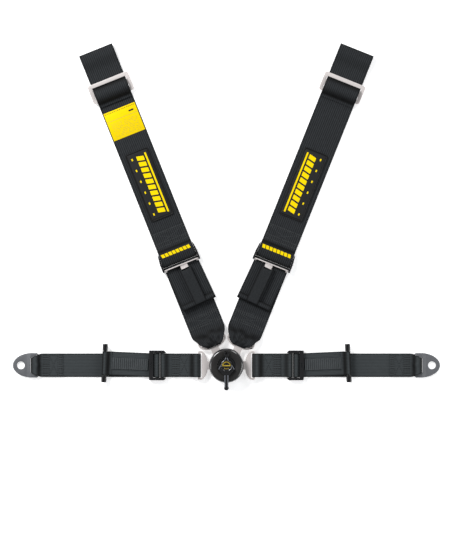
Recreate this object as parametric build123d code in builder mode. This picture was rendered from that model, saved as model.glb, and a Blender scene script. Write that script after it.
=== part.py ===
"""Four-point racing harness, laid out flat, in millimetres.

The origin is the middle of the buckle's back face. X runs along the lap belts, Y runs up
between the shoulder belts and Z is up. Each belt is drawn in its own frame: "along" counts
outwards from the buckle, "across" counts to the left of that, and z is the height. The belts
come in mirrored pairs, with side = 1 on the right and -1 on the left.
"""

import os
from collections import namedtuple
from math import cos, radians, sin

from build123d import *

os.makedirs("parts", exist_ok=True)

# ---- webbing -------------------------------------------------------------------------------
lap_width = 50.0
shoulder_width = 75.0
webbing = 1.4  # thickness of one layer
ply_pitch = webbing - 0.05  # from one layer to the next where they are sewn together
lay_gap = 0.3  # between layers that slide over each other
bar_gap = 0.35  # round a bar that webbing turns about
edge_gap = 1.0  # from a webbing edge to the metal beside it
first_layer = webbing / 2
second_layer = first_layer + ply_pitch
tail_layer = first_layer + 2 * ply_pitch + lay_gap + 0.4  # clears a sewn double layer
fold_bend = 4.0  # how sharply webbing bends where it leaves the flat
crest = 3.0  # how far webbing stays at a bar's height before it drops

# ---- layout --------------------------------------------------------------------------------
shoulder_splay = 21.8  # degrees from straight up
shoulder_offset = 10.0  # the shoulder belts' lines pass this far beside the buckle's centre
shoulder_tail_swing = 3.2  # degrees
lap_tail_swing = 2.5  # degrees

# ---- buckle --------------------------------------------------------------------------------
buckle_radius = 36.25
back_plate_thickness = 2.5
housing_top = 12.5
cover_top = 28.0
cover_wall = 3.0
cover_roof = 2.0
cover_bevel = 4.0
pocket_radius = 18.6
pocket_depth = 2.5
shaft_radius = 4.5
shaft_gap = 0.05
foot_radius = 7.2
foot_thickness = 2.0
screw_radius = 1.5
screw_circle = 29.5
screw_angles = (90, 225, 315)
boss_radius = 4.0
screw_head_radius = 2.9
screw_head_height = 1.4

# ---- tongues -------------------------------------------------------------------------------
tongue_thickness = 3.0
tongue_middle = 7.8  # height
tongue_gap = 0.3
blade_width = 17.8
blade_start = 15.5
lock_place = 24.0  # of the hole that locks the tongue
lock_pin_radius = 2.6
lock_pin_gap = 0.1
lock_hole_gap = 0.35
blade_end = 40.0
tongue_width = lap_width + 12.0
tongue_slot_edge = 52.0
tongue_bar_place = 58.2
tongue_bar_width = 4.0
flat_bar_radius = 2.5  # the round that a flat bar turns in

# ---- lock ----------------------------------------------------------------------------------
lever_turn = 45.0  # degrees
lock_lift = 4.95
cam_radius = 13.0
cam_thickness = 1.5
cam_gap = 0.3
lifter_thickness = 1.5
lifter_radius = 32.6
tab_half_angle = 7.0
tab_inner_radius = 8.5
tab_angles = (90, 210, 330)
ramp_steps = 5
ramp_clear = 0.1
pin_head_radius = 3.7
pin_head_height = 1.5
spring_wire = 0.8
return_wire = 1.2

# ---- lever ---------------------------------------------------------------------------------
lever_thickness = 4.5
lever_reach = 52.0
lever_arm_width = 8.4
lever_tip_radius = 5.0
lever_disc_radius = 13.2
fork_stem = 5.4
fork_reach = 32.0
fork_start = 20.5
fork_width = 9.6
fork_gap = 4.4
cap_radius = 12.4
cap_thickness = 3.0
lever_gap = 0.4

# ---- shoulder belts ------------------------------------------------------------------------
shoulder_sewn_start = 76.0
shoulder_sewn_end = 116.0
shoulder_feed_start = 118.0
hem_start = 138.0
hem_end = 150.0
hem_layers = 3
shoulder_turn_place = 232.0  # bar that the lower webbing turns about
shoulder_turn_radius = 2.0
shoulder_frame_bar_place = 241.0  # bar that the upper webbing is sewn round
shoulder_frame_bar_radius = 2.5
shoulder_frame_start = 227.0
shoulder_frame_end = 266.0
shoulder_flange = 4.0
shoulder_flange_rise = 1.5  # over the lock bar
lock_bar_place = 230.1
lock_bar_thickness = 2.2
lock_bar_height = 3.0
lock_bar_pocket = 1.8  # how far the lock bar reaches into each flange
lock_tab_width = 16.0
pull_bar_place = 220.4  # crossbar on the lock tab that the release strap is looped round
pull_bar_radius = 1.0
release_width = 25.0
release_start = 147.0
release_sewn_start = 206.0
release_shift = 4.0
roll_end = 268.0
upper_sewn_start = 273.0
upper_sewn_end = 312.0
badge_start = 336.0
badge_length = 152.5
badge_width = 52.5
badge_thickness = 2.0
label_start = 525.0
label_length = 62.0
label_width = 70.8
label_thickness = 0.6
slide_start = 612.0
slide_length = 41.5
slide_width = 92.0
slide_thickness = 2.6
slide_bar = 8.5
slide_slot = 7.0
loop_reach = 720.0
loop_bend = 3.6  # radius of the webbing's middle at the top loop

# ---- lap belts -----------------------------------------------------------------------------
lap_sewn_start = 74.0
lap_sewn_end = 116.0
lap_frame_bar_place = 134.8
lap_frame_bar_radius = 2.5
lap_frame_start = 128.0
lap_frame_end = 164.0
lap_frame_width = 63.0
lap_turn_place = 146.0
lap_turn_radius = 2.0
lap_tail_landing = 158.0  # the tail has come down to its own layer
lap_tail_start = 159.0
lap_tail_overlap = 4.0
lap_plate_start = 155.0
lap_plate_thickness = 2.0
grip_start = 165.5
grip_end = 243.0
grip_width = 24.5
grip_thickness = 1.4
tail_loop_start = 244.5
tbar_place = 258.0
tbar_radius = 3.8
tbar_side_gap = 0.75  # from the webbing to each cap
tbar_cap_radius = 5.5
tbar_cap_length = 15.0
tbar_rod_inset = 3.0  # each end of the rod stops this far inside its cap
outer_strap_start = 250.0
outer_sewn_start = 346.0
outer_sewn_end = 391.0
bracket_bar_place = 407.0
bracket_bar_width = 4.0
bracket_thickness = 3.0
bracket_width = lap_width + 2.0
bracket_start = 397.5
bracket_slot_edge = 415.5
bracket_slot_half = 16.5
bracket_hole_place = 435.6
bracket_hole_radius = 8.3
bracket_reach = 452.4

# ---- worked out ----------------------------------------------------------------------------
flat_bar_turn = flat_bar_radius + bar_gap + webbing / 2
shoulder_turn = shoulder_turn_radius + bar_gap + webbing / 2
shoulder_frame_turn = shoulder_frame_bar_radius + bar_gap + webbing / 2
lap_turn = lap_turn_radius + bar_gap + webbing / 2
lap_frame_turn = lap_frame_bar_radius + bar_gap + webbing / 2
pull_turn = pull_bar_radius + bar_gap + webbing / 2
shoulder_crest_top = first_layer + 2 * shoulder_turn + webbing / 2
hem_top = tail_layer + (hem_layers - 1) * ply_pitch + webbing / 2
lock_low = max(shoulder_crest_top, hem_top) + lay_gap
lock_tab_middle = lock_low + webbing / 2
tbar_turn = tbar_radius + bar_gap + webbing / 2
tbar_length = lap_width + 2 * (tbar_cap_length + tbar_side_gap)
tongue_low = tongue_middle - tongue_thickness / 2
cam_low = housing_top + cam_gap
lifter_low = cam_low + cam_thickness + cam_gap
pin_head_low = lifter_low + lifter_thickness + 0.2
pin_low = tongue_low - tongue_gap - 1.2
roof_low = cover_top - cover_roof
pocket_floor = cover_top - pocket_depth

Belt = namedtuple("Belt", "side start heading")


def direction(belt):
    """The unit vector that runs outwards along a belt."""
    angle = radians(belt.heading)
    return Vector(cos(angle), sin(angle), 0)


def lying(belt, height=0.0):
    """The plane of a belt's plan view at a height."""
    origin = belt.start + Vector(0, 0, height)
    return Plane(origin=origin, x_dir=direction(belt), z_dir=(0, 0, 1))


def upright(belt, across=0.0):
    """The plane of a belt's side view: along it and up."""
    u = direction(belt)
    left = Vector(-u.Y, u.X, 0)
    return Plane(origin=belt.start + left * across, x_dir=u, z_dir=-left)


def swung(belt, pivot, swing):
    """The same belt turned about a point along it."""
    turned = belt.heading + belt.side * swing
    u = Vector(cos(radians(turned)), sin(radians(turned)), 0)
    return Belt(belt.side, belt.start + direction(belt) * pivot - u * pivot, turned)


def lap_belt(side):
    return Belt(side, Vector(0, 0, 0), 90 - 90 * side)


def shoulder_belt(side):
    return Belt(side, Vector(side * shoulder_offset, 0, 0), 90 - side * shoulder_splay)


def save(piece, name):
    piece.part.label = name
    export_step(piece.part, f"parts/{name}.step")


def run(*points, bend=fold_bend):
    """One run of webbing in side view, rounded where it bends."""
    with BuildLine() as path:
        if len(points) == 2:
            Line(*points)
        else:
            FilletPolyline(*points, radius=bend)
    trace(path.line, line_width=webbing)


def turn(bar, radius, start_angle):
    """Webbing turned half round a bar in side view."""
    with BuildLine() as path:
        CenterArc(bar, radius, start_angle, 180)
    trace(path.line, line_width=webbing)


def outline(belt, points, height=-1.0, amount=30.0, mode=Mode.INTERSECT):
    """Keeps what lies inside a plan outline, or adds or cuts it."""
    with BuildSketch(lying(belt, height)) as plan:
        Polygon(*points, align=None)
    extrude(plan.sketch, amount=amount, dir=(0, 0, 1), mode=mode)


def both_sides(half):
    """A plan outline from the points of its upper half."""
    return half + [(x, -y) for x, y in reversed(half)]


def polar(radius, angle):
    return (radius * cos(radians(angle)), radius * sin(radians(angle)))


laps = [lap_belt(1), lap_belt(-1)]
shoulders = [shoulder_belt(1), shoulder_belt(-1)]
captive_belt = laps[0]
released_belts = [laps[1]] + shoulders
screw_points = [polar(screw_circle, angle) for angle in screw_angles]


# ---- buckle housing ------------------------------------------------------------------------
with BuildPart() as back_plate:
    with BuildSketch():
        Circle(buckle_radius - 1.2)
    extrude(amount=back_plate_thickness)
    with BuildSketch():
        with Locations(*screw_points):
            Circle(screw_radius + lock_pin_gap)
    extrude(amount=back_plate_thickness, mode=Mode.SUBTRACT)
    with BuildSketch():
        with Locations(*screw_points):
            Circle(screw_head_radius + lock_pin_gap)
    extrude(amount=screw_head_height + 2 * lock_pin_gap, taper=40, mode=Mode.SUBTRACT)
save(back_plate, "buckle_back_plate")

with BuildPart() as housing:
    with BuildSketch(Plane.XY.offset(back_plate_thickness)):
        Circle(buckle_radius)
    extrude(amount=housing_top - back_plate_thickness)
    chamfer(housing.faces().sort_by(Axis.Z)[0].edges(), 0.8)
    for belt in laps + shoulders:
        with BuildSketch(lying(belt, tongue_low - tongue_gap)):
            with Locations(((blade_start - 1 + 2 * buckle_radius) / 2, 0)):
                Rectangle(2 * buckle_radius - blade_start + 1, blade_width + 2 * tongue_gap)
        extrude(amount=tongue_thickness + 2 * tongue_gap, mode=Mode.SUBTRACT)
        with BuildSketch(lying(belt, pin_low - tongue_gap)):
            with Locations((lock_place, 0)):
                Circle(lock_pin_radius + lock_pin_gap)
        extrude(amount=housing_top, mode=Mode.SUBTRACT)
    with BuildSketch(Plane.XY.offset(back_plate_thickness)):
        Circle(shaft_radius + shaft_gap)
        with Locations(*screw_points):
            Circle(screw_radius + lock_pin_gap)
    extrude(amount=housing_top, mode=Mode.SUBTRACT)
    with BuildSketch(Plane.XY.offset(back_plate_thickness)):
        Circle(foot_radius + tongue_gap)
    extrude(amount=foot_thickness + 2 * tongue_gap, mode=Mode.SUBTRACT)
save(housing, "buckle_housing")

with BuildPart() as cover:
    inner = buckle_radius - cover_wall
    bevel_foot = cover_top - cover_bevel - 0.5
    with BuildSketch(Plane.XZ):
        Polygon(
            (shaft_radius + shaft_gap, pocket_floor),
            (pocket_radius, pocket_floor),
            (pocket_radius, cover_top),
            (buckle_radius - cover_bevel, cover_top),
            (buckle_radius, bevel_foot),
            (buckle_radius, housing_top),
            (inner, housing_top),
            (inner, bevel_foot - 1),
            (inner - 0.8, roof_low),
            (pocket_radius + 1.6, roof_low),
            (pocket_radius + 1.6, pocket_floor - cover_roof),
            (shaft_radius + shaft_gap, pocket_floor - cover_roof),
            align=None,
        )
    revolve(axis=Axis.Z)
    with BuildSketch(Plane.XY.offset(housing_top)):
        with Locations(*screw_points):
            Circle(boss_radius)
    extrude(amount=roof_low + 0.5 - housing_top)
    with BuildSketch(Plane.XY.offset(housing_top)):
        with Locations(*screw_points):
            Circle(screw_radius + shaft_gap)
    extrude(amount=roof_low - 2 - housing_top, mode=Mode.SUBTRACT)
save(cover, "buckle_cover")

with BuildPart() as screws:
    with BuildSketch(Plane.XY.offset(lock_pin_gap)):
        with Locations(*screw_points):
            Circle(screw_head_radius)
    extrude(amount=screw_head_height, taper=40)
    with BuildSketch(Plane.XY.offset(lock_pin_gap)):
        with Locations(*screw_points):
            Circle(screw_radius)
    extrude(amount=roof_low - 3 - lock_pin_gap)
save(screws, "cover_screws")

with BuildPart() as captive_pin:
    with BuildSketch(lying(captive_belt, pin_low)):
        with Locations((lock_place, 0)):
            Circle(lock_pin_radius)
    extrude(amount=housing_top - lock_pin_gap - pin_low)
save(captive_pin, "captive_pin")

# ---- lever and lock ------------------------------------------------------------------------
with BuildPart() as shaft:
    with BuildSketch(Plane.XY.offset(back_plate_thickness + tongue_gap)):
        Circle(foot_radius)
    extrude(amount=foot_thickness)
    with BuildSketch(Plane.XY.offset(back_plate_thickness + tongue_gap)):
        Circle(shaft_radius)
    extrude(amount=cover_top + lever_thickness - back_plate_thickness)
save(shaft, "lever_shaft")

with BuildPart() as cam:
    with BuildSketch(Plane.XY.offset(cam_low)):
        Circle(cam_radius)
        Circle(shaft_radius + shaft_gap, mode=Mode.SUBTRACT)
    extrude(amount=cam_thickness)
    step_angle = lever_turn / ramp_steps
    for tab in tab_angles:
        for step in range(1, ramp_steps + 1):
            lead = tab - tab_half_angle - 1 - step * step_angle
            trail = tab - tab_half_angle - lever_turn - 2 * tab_half_angle - 1
            with BuildSketch(Plane.XY.offset(cam_low + cam_thickness)):
                Circle(cam_radius - 0.2)
                Circle(tab_inner_radius, mode=Mode.SUBTRACT)
                Polygon(
                    (0, 0),
                    polar(2 * cam_radius, trail),
                    polar(2 * cam_radius, (lead + trail) / 2),
                    polar(2 * cam_radius, lead),
                    align=None,
                    mode=Mode.INTERSECT,
                )
            extrude(amount=cam_gap - ramp_clear + lock_lift * step / ramp_steps)
save(cam, "cam_plate")

with BuildPart() as lifter:
    with BuildSketch(Plane.XY.offset(lifter_low)):
        Circle(lifter_radius)
        Circle(cam_radius + 0.5, mode=Mode.SUBTRACT)
        with Locations(*screw_points):
            Circle(boss_radius + 0.8, mode=Mode.SUBTRACT)
    extrude(amount=lifter_thickness)
    with BuildSketch(Plane.XY.offset(lifter_low)):
        for tab in tab_angles:
            Polygon(
                polar(tab_inner_radius, tab - tab_half_angle),
                polar(cam_radius + 2, tab - tab_half_angle),
                polar(cam_radius + 2, tab + tab_half_angle),
                polar(tab_inner_radius, tab + tab_half_angle),
                align=None,
            )
    extrude(amount=lifter_thickness)
    for belt in released_belts:
        with BuildSketch(lying(belt, lifter_low)):
            with Locations((lock_place, 0)):
                Circle(lock_pin_radius + lock_pin_gap)
        extrude(amount=lifter_thickness, mode=Mode.SUBTRACT)
save(lifter, "lifter_ring")

with BuildPart() as lock_pins:
    for belt in released_belts:
        with BuildSketch(lying(belt, pin_low)):
            with Locations((lock_place, 0)):
                Circle(lock_pin_radius)
        extrude(amount=pin_head_low - pin_low)
        with BuildSketch(lying(belt, pin_head_low)):
            with Locations((lock_place, 0)):
                Circle(pin_head_radius)
        extrude(amount=pin_head_height)
save(lock_pins, "lock_pins")


def coil(centre, low, high, radius, wire, turns):
    """A round-wire spring standing on its end."""
    x, y = centre
    height = high - low - wire
    with BuildLine(Plane(origin=(x, y, low + wire / 2))) as path:
        Helix(pitch=height / turns, height=height, radius=radius)
    with BuildSketch(Plane(origin=path.line @ 0, z_dir=path.line % 0)) as section:
        Circle(wire / 2)
    sweep(section.sketch, path=path.line, is_frenet=True)


with BuildPart() as pin_springs:
    for belt in released_belts:
        place = belt.start + direction(belt) * lock_place
        low = pin_head_low + pin_head_height + lock_pin_gap
        coil((place.X, place.Y), low, roof_low - lock_pin_gap, 2.6, spring_wire, 3.5)
save(pin_springs, "lock_springs")

with BuildPart() as return_spring:
    low = lifter_low + lock_lift + 0.2
    coil((0, 0), low, pocket_floor - cover_roof - 0.2, shaft_radius + 1.6, return_wire, 2)
save(return_spring, "return_spring")

with BuildPart() as lever:
    with BuildSketch(Plane.XY.offset(pocket_floor + lever_gap)):
        Circle(lever_disc_radius)
    extrude(amount=pocket_depth)
    with BuildSketch(Plane.XY.offset(cover_top + lever_gap)) as lever_plan:
        Polygon((0, 19), (-17, -8), (-6, -21), (6, -21), (17, -8), align=None)
        fillet(lever_plan.vertices(), 2.5)
        with Locations((0, -lever_reach / 2)):
            Rectangle(lever_arm_width, lever_reach - 2 * lever_tip_radius)
        with Locations((0, lever_tip_radius - lever_reach)):
            Circle(lever_tip_radius)
        with Locations((0, fork_start / 2)):
            Rectangle(fork_stem, fork_start + 1)
        with Locations((0, (fork_start + fork_reach) / 2)):
            RectangleRounded(fork_width, fork_reach - fork_start, 2)
            with Locations((0, 2.5)):
                RectangleRounded(fork_gap, fork_reach - fork_start, 2, mode=Mode.SUBTRACT)
    extrude(amount=lever_thickness)
    with BuildSketch(Plane.XY.offset(pocket_floor)):
        Circle(shaft_radius + shaft_gap)
    extrude(amount=cover_top, mode=Mode.SUBTRACT)
save(lever, "release_lever")

with BuildPart() as lever_cap:
    cap_low = cover_top + lever_gap + lever_thickness
    with BuildSketch(Plane.XY.offset(cap_low)):
        Circle(cap_radius)
    extrude(amount=cap_thickness)
    fillet(lever_cap.edges().sort_by(Axis.Z)[-1], 1.2)
save(lever_cap, "lever_cap")


# ---- tongues -------------------------------------------------------------------------------
def tongue(belt):
    """A flat steel tongue: a blade that locks in the buckle and a slot for the webbing."""
    bar_end = tongue_bar_place + tongue_bar_width / 2
    half = tongue_width / 2
    slot_length = bar_end - tongue_bar_width - tongue_slot_edge
    with BuildPart() as piece:
        with BuildSketch(lying(belt, tongue_low)) as plan:
            with BuildLine():
                Polyline(
                    (bar_end, half - 1),
                    (tongue_slot_edge + 3, half),
                    (tongue_slot_edge - 2, half - 1.5),
                )
                Spline(
                    (tongue_slot_edge - 2, half - 1.5),
                    (tongue_slot_edge - 5, half * 0.85),
                    (blade_end + 2.6, half * 0.62),
                    (blade_end, blade_width / 2),
                )
                Polyline((blade_end, blade_width / 2), (blade_start, blade_width / 2))
                Line((blade_start, blade_width / 2), (blade_start, 0))
                Line((blade_start, 0), (bar_end, 0))
                Line((bar_end, 0), (bar_end, half - 1))
            make_face()
            mirror(about=Plane.XZ)
            slot_middle = tongue_slot_edge + slot_length / 2
            with Locations((slot_middle, 0)):
                Rectangle(slot_length, lap_width + 2 * edge_gap, mode=Mode.SUBTRACT)
            with Locations((lock_place, 0)):
                Circle(lock_pin_radius + lock_hole_gap, mode=Mode.SUBTRACT)
        extrude(amount=tongue_thickness)
    return piece


# ---- shoulder belts ------------------------------------------------------------------------
def lower_strap(belt):
    """Shoulder webbing sewn in a loop round the tongue, gathered to pass its slot."""
    bar = (tongue_bar_place, tongue_middle)
    top = tongue_middle + flat_bar_turn
    bottom = tongue_middle - flat_bar_turn
    half = shoulder_width / 2
    with BuildPart() as piece:
        with BuildSketch(upright(belt)):
            turn(bar, flat_bar_turn, 90)
            run(
                (tongue_bar_place, bottom),
                (tongue_bar_place + 4, bottom),
                (shoulder_sewn_start, first_layer),
                (shoulder_feed_start, first_layer),
            )
            run(
                (tongue_bar_place, top),
                (tongue_bar_place + 4, top),
                (shoulder_sewn_start, second_layer),
                (shoulder_sewn_end, second_layer),
            )
        extrude(amount=half, both=True)
        outline(
            belt,
            both_sides(
                [
                    (tongue_slot_edge, 18),
                    (tongue_bar_place + 3, 25),
                    (shoulder_sewn_start, half),
                    (shoulder_sewn_end + 5, half),
                ]
            ),
        )
    return piece


def shoulder_feed(belt):
    """The stretch of lower webbing that runs through the adjuster and back as the tail."""
    place = shoulder_turn_place
    centre = first_layer + shoulder_turn
    top = centre + shoulder_turn
    with BuildPart() as piece:
        with BuildSketch(upright(belt)):
            run((shoulder_feed_start + lay_gap, first_layer), (place, first_layer))
            turn((place, centre), shoulder_turn, -90)
            run((place, top), (place - 4, top), (place - 13, tail_layer), (place - 18, tail_layer))
        extrude(amount=shoulder_width / 2, both=True)
        with BuildSketch(upright(swung(belt, place, -shoulder_tail_swing))):
            run((hem_end + lay_gap, tail_layer), (place - 14, tail_layer))
        extrude(amount=shoulder_width / 2, both=True)
    return piece


def hem(belt):
    """The tail's end, folded over and sewn."""
    with BuildPart() as piece:
        with BuildSketch(upright(swung(belt, shoulder_turn_place, -shoulder_tail_swing))):
            with Locations(((hem_start + hem_end) / 2, tail_layer + (hem_layers - 1) * ply_pitch / 2)):
                RectangleRounded(hem_end - hem_start, hem_layers * ply_pitch, 1.8)
        extrude(amount=shoulder_width / 2, both=True)
    return piece


def shoulder_frame(belt):
    """The adjuster's frame: two flanges joined by the turn bar and the upper belt's bar."""
    inside = shoulder_width / 2 + edge_gap
    outside = inside + shoulder_flange
    turn_height = first_layer + shoulder_turn
    bar_height = first_layer + shoulder_frame_turn
    top = lock_low + lock_bar_height + shoulder_flange_rise
    with BuildPart() as piece:
        with BuildSketch(upright(belt)):
            Polygon(
                (shoulder_frame_start, 1),
                (shoulder_frame_end - 4, 1),
                (shoulder_frame_end, 4),
                (shoulder_frame_end - 2, 8),
                (shoulder_turn_place + 6, top),
                (shoulder_frame_start, top),
                align=None,
            )
        extrude(amount=outside, both=True)
        with BuildSketch(lying(belt)):
            with Locations(((shoulder_frame_start + shoulder_frame_end) / 2, 0)):
                Rectangle(shoulder_frame_end - shoulder_frame_start + 10, 2 * inside)
        extrude(amount=2 * top, mode=Mode.SUBTRACT)
        outline(
            belt,
            both_sides(
                [
                    (shoulder_frame_start, outside),
                    (shoulder_turn_place + 14, outside),
                    (shoulder_frame_end, inside + 1.5),
                ]
            ),
        )
        with BuildSketch(upright(belt)):
            with Locations((shoulder_turn_place, turn_height)):
                Circle(shoulder_turn_radius)
            with Locations((shoulder_frame_bar_place, bar_height)):
                Circle(shoulder_frame_bar_radius)
        extrude(amount=inside + 1, both=True)
        with BuildSketch(upright(belt)):
            with Locations((lock_bar_place, lock_low + lock_bar_height / 2)):
                Rectangle(lock_bar_thickness + 2 * lock_pin_gap, lock_bar_height + 2 * lock_pin_gap)
        extrude(amount=inside + lock_bar_pocket + lock_pin_gap, both=True, mode=Mode.SUBTRACT)
    return piece


def lock_bar(belt):
    """The steel bar that grips the tail, with a middle tab whose crossbar takes the release strap."""
    face = lock_bar_place - lock_bar_thickness / 2
    inside = shoulder_width / 2 + edge_gap
    lug_length = 3.0
    lug_width = 4.0
    lug_place = inside - lug_width / 2 - edge_gap
    tail = swung(belt, shoulder_turn_place, -shoulder_tail_swing)
    with BuildPart() as piece:
        with BuildSketch(lying(belt, lock_low)):
            with Locations((lock_bar_place, 0)):
                Rectangle(lock_bar_thickness, 2 * (inside + lock_bar_pocket))
        extrude(amount=lock_bar_height)
        with BuildSketch(lying(belt, lock_low)):
            with Locations((face - lug_length / 2, lug_place), (face - lug_length / 2, -lug_place)):
                Rectangle(lug_length, lug_width)
        extrude(amount=webbing)
        with BuildSketch(lying(tail, lock_low)):
            with Locations(((pull_bar_place + lock_bar_place) / 2, belt.side * release_shift)):
                Rectangle(lock_bar_place - pull_bar_place, lock_tab_width)
        extrude(amount=webbing)
        with BuildSketch(upright(tail, belt.side * release_shift)):
            with Locations((pull_bar_place, lock_tab_middle)):
                Circle(pull_bar_radius)
        extrude(amount=release_width / 2, both=True)
    return piece


def release_strap(belt):
    """Narrow pull strap lying over the tail, sewn in a loop round the lock tab's crossbar."""
    place = pull_bar_place
    height = lock_tab_middle
    tail = swung(belt, shoulder_turn_place, -shoulder_tail_swing)
    middle = belt.side * release_shift
    slit = lock_tab_width / 2 + edge_gap / 2
    slit_start = place - pull_turn - webbing / 2
    with BuildPart() as piece:
        with BuildSketch(upright(tail, middle)):
            turn((place, height), pull_turn, -90)
            run(
                (release_start, height),
                (release_sewn_start + 4, height),
                (place - crest, height + pull_turn),
                (place, height + pull_turn),
                bend=webbing,
            )
            run(
                (release_sewn_start, height - ply_pitch),
                (release_sewn_start + 5, height - ply_pitch),
                (place - crest, height - pull_turn),
                (place, height - pull_turn),
                bend=webbing,
            )
        extrude(amount=release_width / 2, both=True)
        outline(
            tail,
            [
                (slit_start, middle - slit),
                (place + 5, middle - slit),
                (place + 5, middle + slit),
                (slit_start, middle + slit),
            ],
            mode=Mode.SUBTRACT,
        )
    return piece


def upper_strap(belt):
    """Upper webbing, sewn in a loop round the adjuster's bar."""
    place = shoulder_frame_bar_place
    centre = first_layer + shoulder_frame_turn
    top = centre + shoulder_frame_turn
    slot_end = slide_start + slide_bar + slide_slot
    with BuildPart() as piece:
        with BuildSketch(upright(belt)):
            turn((place, centre), shoulder_frame_turn, 90)
            run((place, first_layer), (slot_end, first_layer))
            run(
                (place, top),
                (roll_end - 6, top),
                (upper_sewn_start, second_layer),
                (upper_sewn_end, second_layer),
            )
        extrude(amount=shoulder_width / 2, both=True)
    return piece


def badge(belt):
    """Moulded rubber badge sewn on the upper webbing."""
    with BuildPart() as piece:
        with BuildSketch(lying(belt, webbing)):
            with Locations((badge_start + badge_length / 2, 0)):
                RectangleRounded(badge_length, badge_width, 4)
        extrude(amount=badge_thickness)
    return piece


def care_label(belt):
    """Woven label sewn on the upper webbing."""
    with BuildPart() as piece:
        with BuildSketch(lying(belt, webbing)):
            with Locations((label_start + label_length / 2, 0)):
                Rectangle(label_length, label_width)
        extrude(amount=label_thickness)
    return piece


back_layer = first_layer + webbing + lay_gap  # slides over the upper webbing
front_layer = back_layer + webbing + lay_gap
slide_low = front_layer + webbing / 2 + lay_gap
slide_high = slide_low + slide_thickness
centre_bar_start = slide_start + slide_bar + slide_slot
centre_bar_end = slide_start + slide_length - slide_bar - slide_slot


def three_bar_slide(belt):
    """Three-bar steel slide."""
    with BuildPart() as piece:
        with BuildSketch(lying(belt, slide_low)):
            with Locations((slide_start + slide_length / 2, 0)):
                RectangleRounded(slide_length, slide_width, 5)
            for slot_start in (slide_start + slide_bar, centre_bar_end):
                with Locations((slot_start + slide_slot / 2, 0)):
                    Rectangle(slide_slot, shoulder_width + 2 * edge_gap, mode=Mode.SUBTRACT)
        extrude(amount=slide_thickness)
        fillet(piece.faces().sort_by(Axis.Z)[-1].outer_wire().edges(), 0.8)
    return piece


def anchor_loop(belt):
    """Webbing that goes round the harness bar and back through the slide."""
    over = slide_high + lay_gap + webbing / 2
    over_two = over + webbing + lay_gap
    rise = centre_bar_start - lay_gap - webbing / 2
    fall = centre_bar_end + lay_gap + webbing / 2
    second_rise = fall + webbing + lay_gap
    fold = loop_reach - loop_bend - webbing / 2
    start = slide_start - 5
    tight = webbing / 2 + 0.5
    with BuildPart() as piece:
        with BuildSketch(upright(belt)):
            run(
                (start, back_layer),
                (rise, back_layer),
                (rise, over),
                (fall, over),
                (fall, back_layer),
                (fold, back_layer),
                bend=tight,
            )
            turn((fold, back_layer + loop_bend), loop_bend, -90)
            run(
                (fold, back_layer + 2 * loop_bend),
                (fold - 14, back_layer + 2 * loop_bend),
                (fold - 38, front_layer),
                (second_rise, front_layer),
                (second_rise, over_two),
                (rise - 2, over_two),
                (slide_start + 5, over),
                (start, over),
                bend=tight,
            )
        extrude(amount=shoulder_width / 2, both=True)
    return piece


# ---- lap belts -----------------------------------------------------------------------------
def inner_strap(belt):
    """Lap webbing sewn in one loop round the tongue and the adjuster's inner bar."""
    top = tongue_middle + flat_bar_turn
    bottom = tongue_middle - flat_bar_turn
    far = lap_frame_bar_place
    far_centre = first_layer + lap_frame_turn
    far_top = far_centre + lap_frame_turn
    with BuildPart() as piece:
        with BuildSketch(upright(belt)):
            turn((tongue_bar_place, tongue_middle), flat_bar_turn, 90)
            run(
                (tongue_bar_place, bottom),
                (tongue_bar_place + 4, bottom),
                (lap_sewn_start, first_layer),
                (far, first_layer),
            )
            turn((far, far_centre), lap_frame_turn, -90)
            run(
                (tongue_bar_place, top),
                (tongue_bar_place + 4, top),
                (lap_sewn_start, second_layer),
                (lap_sewn_end, second_layer),
                (far - 5, far_top),
                (far, far_top),
            )
        extrude(amount=lap_width / 2, both=True)
    return piece


def lap_frame(belt):
    """The lap adjuster's frame: two flanges, the inner strap's bar and a slotted top plate."""
    inside = lap_width / 2 + edge_gap
    outside = lap_frame_width / 2
    bar_height = first_layer + lap_frame_turn
    turn_height = first_layer + lap_turn
    plate_low = turn_height + lap_turn + webbing / 2 + lay_gap
    top = plate_low + lap_plate_thickness
    middle = (lap_frame_start + lap_frame_end) / 2
    plate_length = lap_frame_end - lap_plate_start
    with BuildPart() as piece:
        with BuildSketch(upright(belt)) as flange:
            with Locations((middle, top / 2 + 0.2)):
                Rectangle(lap_frame_end - lap_frame_start, top - 0.4)
            fillet(flange.vertices(), 2.5)
        extrude(amount=outside, both=True)
        with BuildSketch(lying(belt)):
            with Locations((middle, 0)):
                Rectangle(2 * (lap_frame_end - lap_frame_start), 2 * inside)
        extrude(amount=2 * top, mode=Mode.SUBTRACT)
        outline(
            belt,
            both_sides(
                [
                    (lap_frame_start, outside - 4),
                    (lap_frame_start + 4, outside),
                    (lap_frame_end, outside),
                ]
            ),
        )
        with BuildSketch(upright(belt)):
            with Locations((lap_frame_bar_place, bar_height)):
                Circle(lap_frame_bar_radius)
        extrude(amount=inside + 1, both=True)
        with BuildSketch(lying(belt, plate_low)):
            with Locations((lap_plate_start + plate_length / 2, 0)):
                Rectangle(plate_length, 2 * inside + 2)
                Rectangle(2, 14, mode=Mode.SUBTRACT)
        extrude(amount=lap_plate_thickness - 0.2)
        with BuildSketch(upright(belt)):
            with Locations((lap_turn_place, turn_height)):
                Circle(lap_turn_radius + shaft_gap)
        extrude(amount=inside + 3, both=True, mode=Mode.SUBTRACT)
    return piece


def lap_turn_bar(belt):
    """The bar that the lap webbing turns about."""
    with BuildPart() as piece:
        with BuildSketch(upright(belt)):
            with Locations((lap_turn_place, first_layer + lap_turn)):
                Circle(lap_turn_radius)
        extrude(amount=lap_width / 2 + edge_gap + 2.8, both=True)
    return piece


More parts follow.
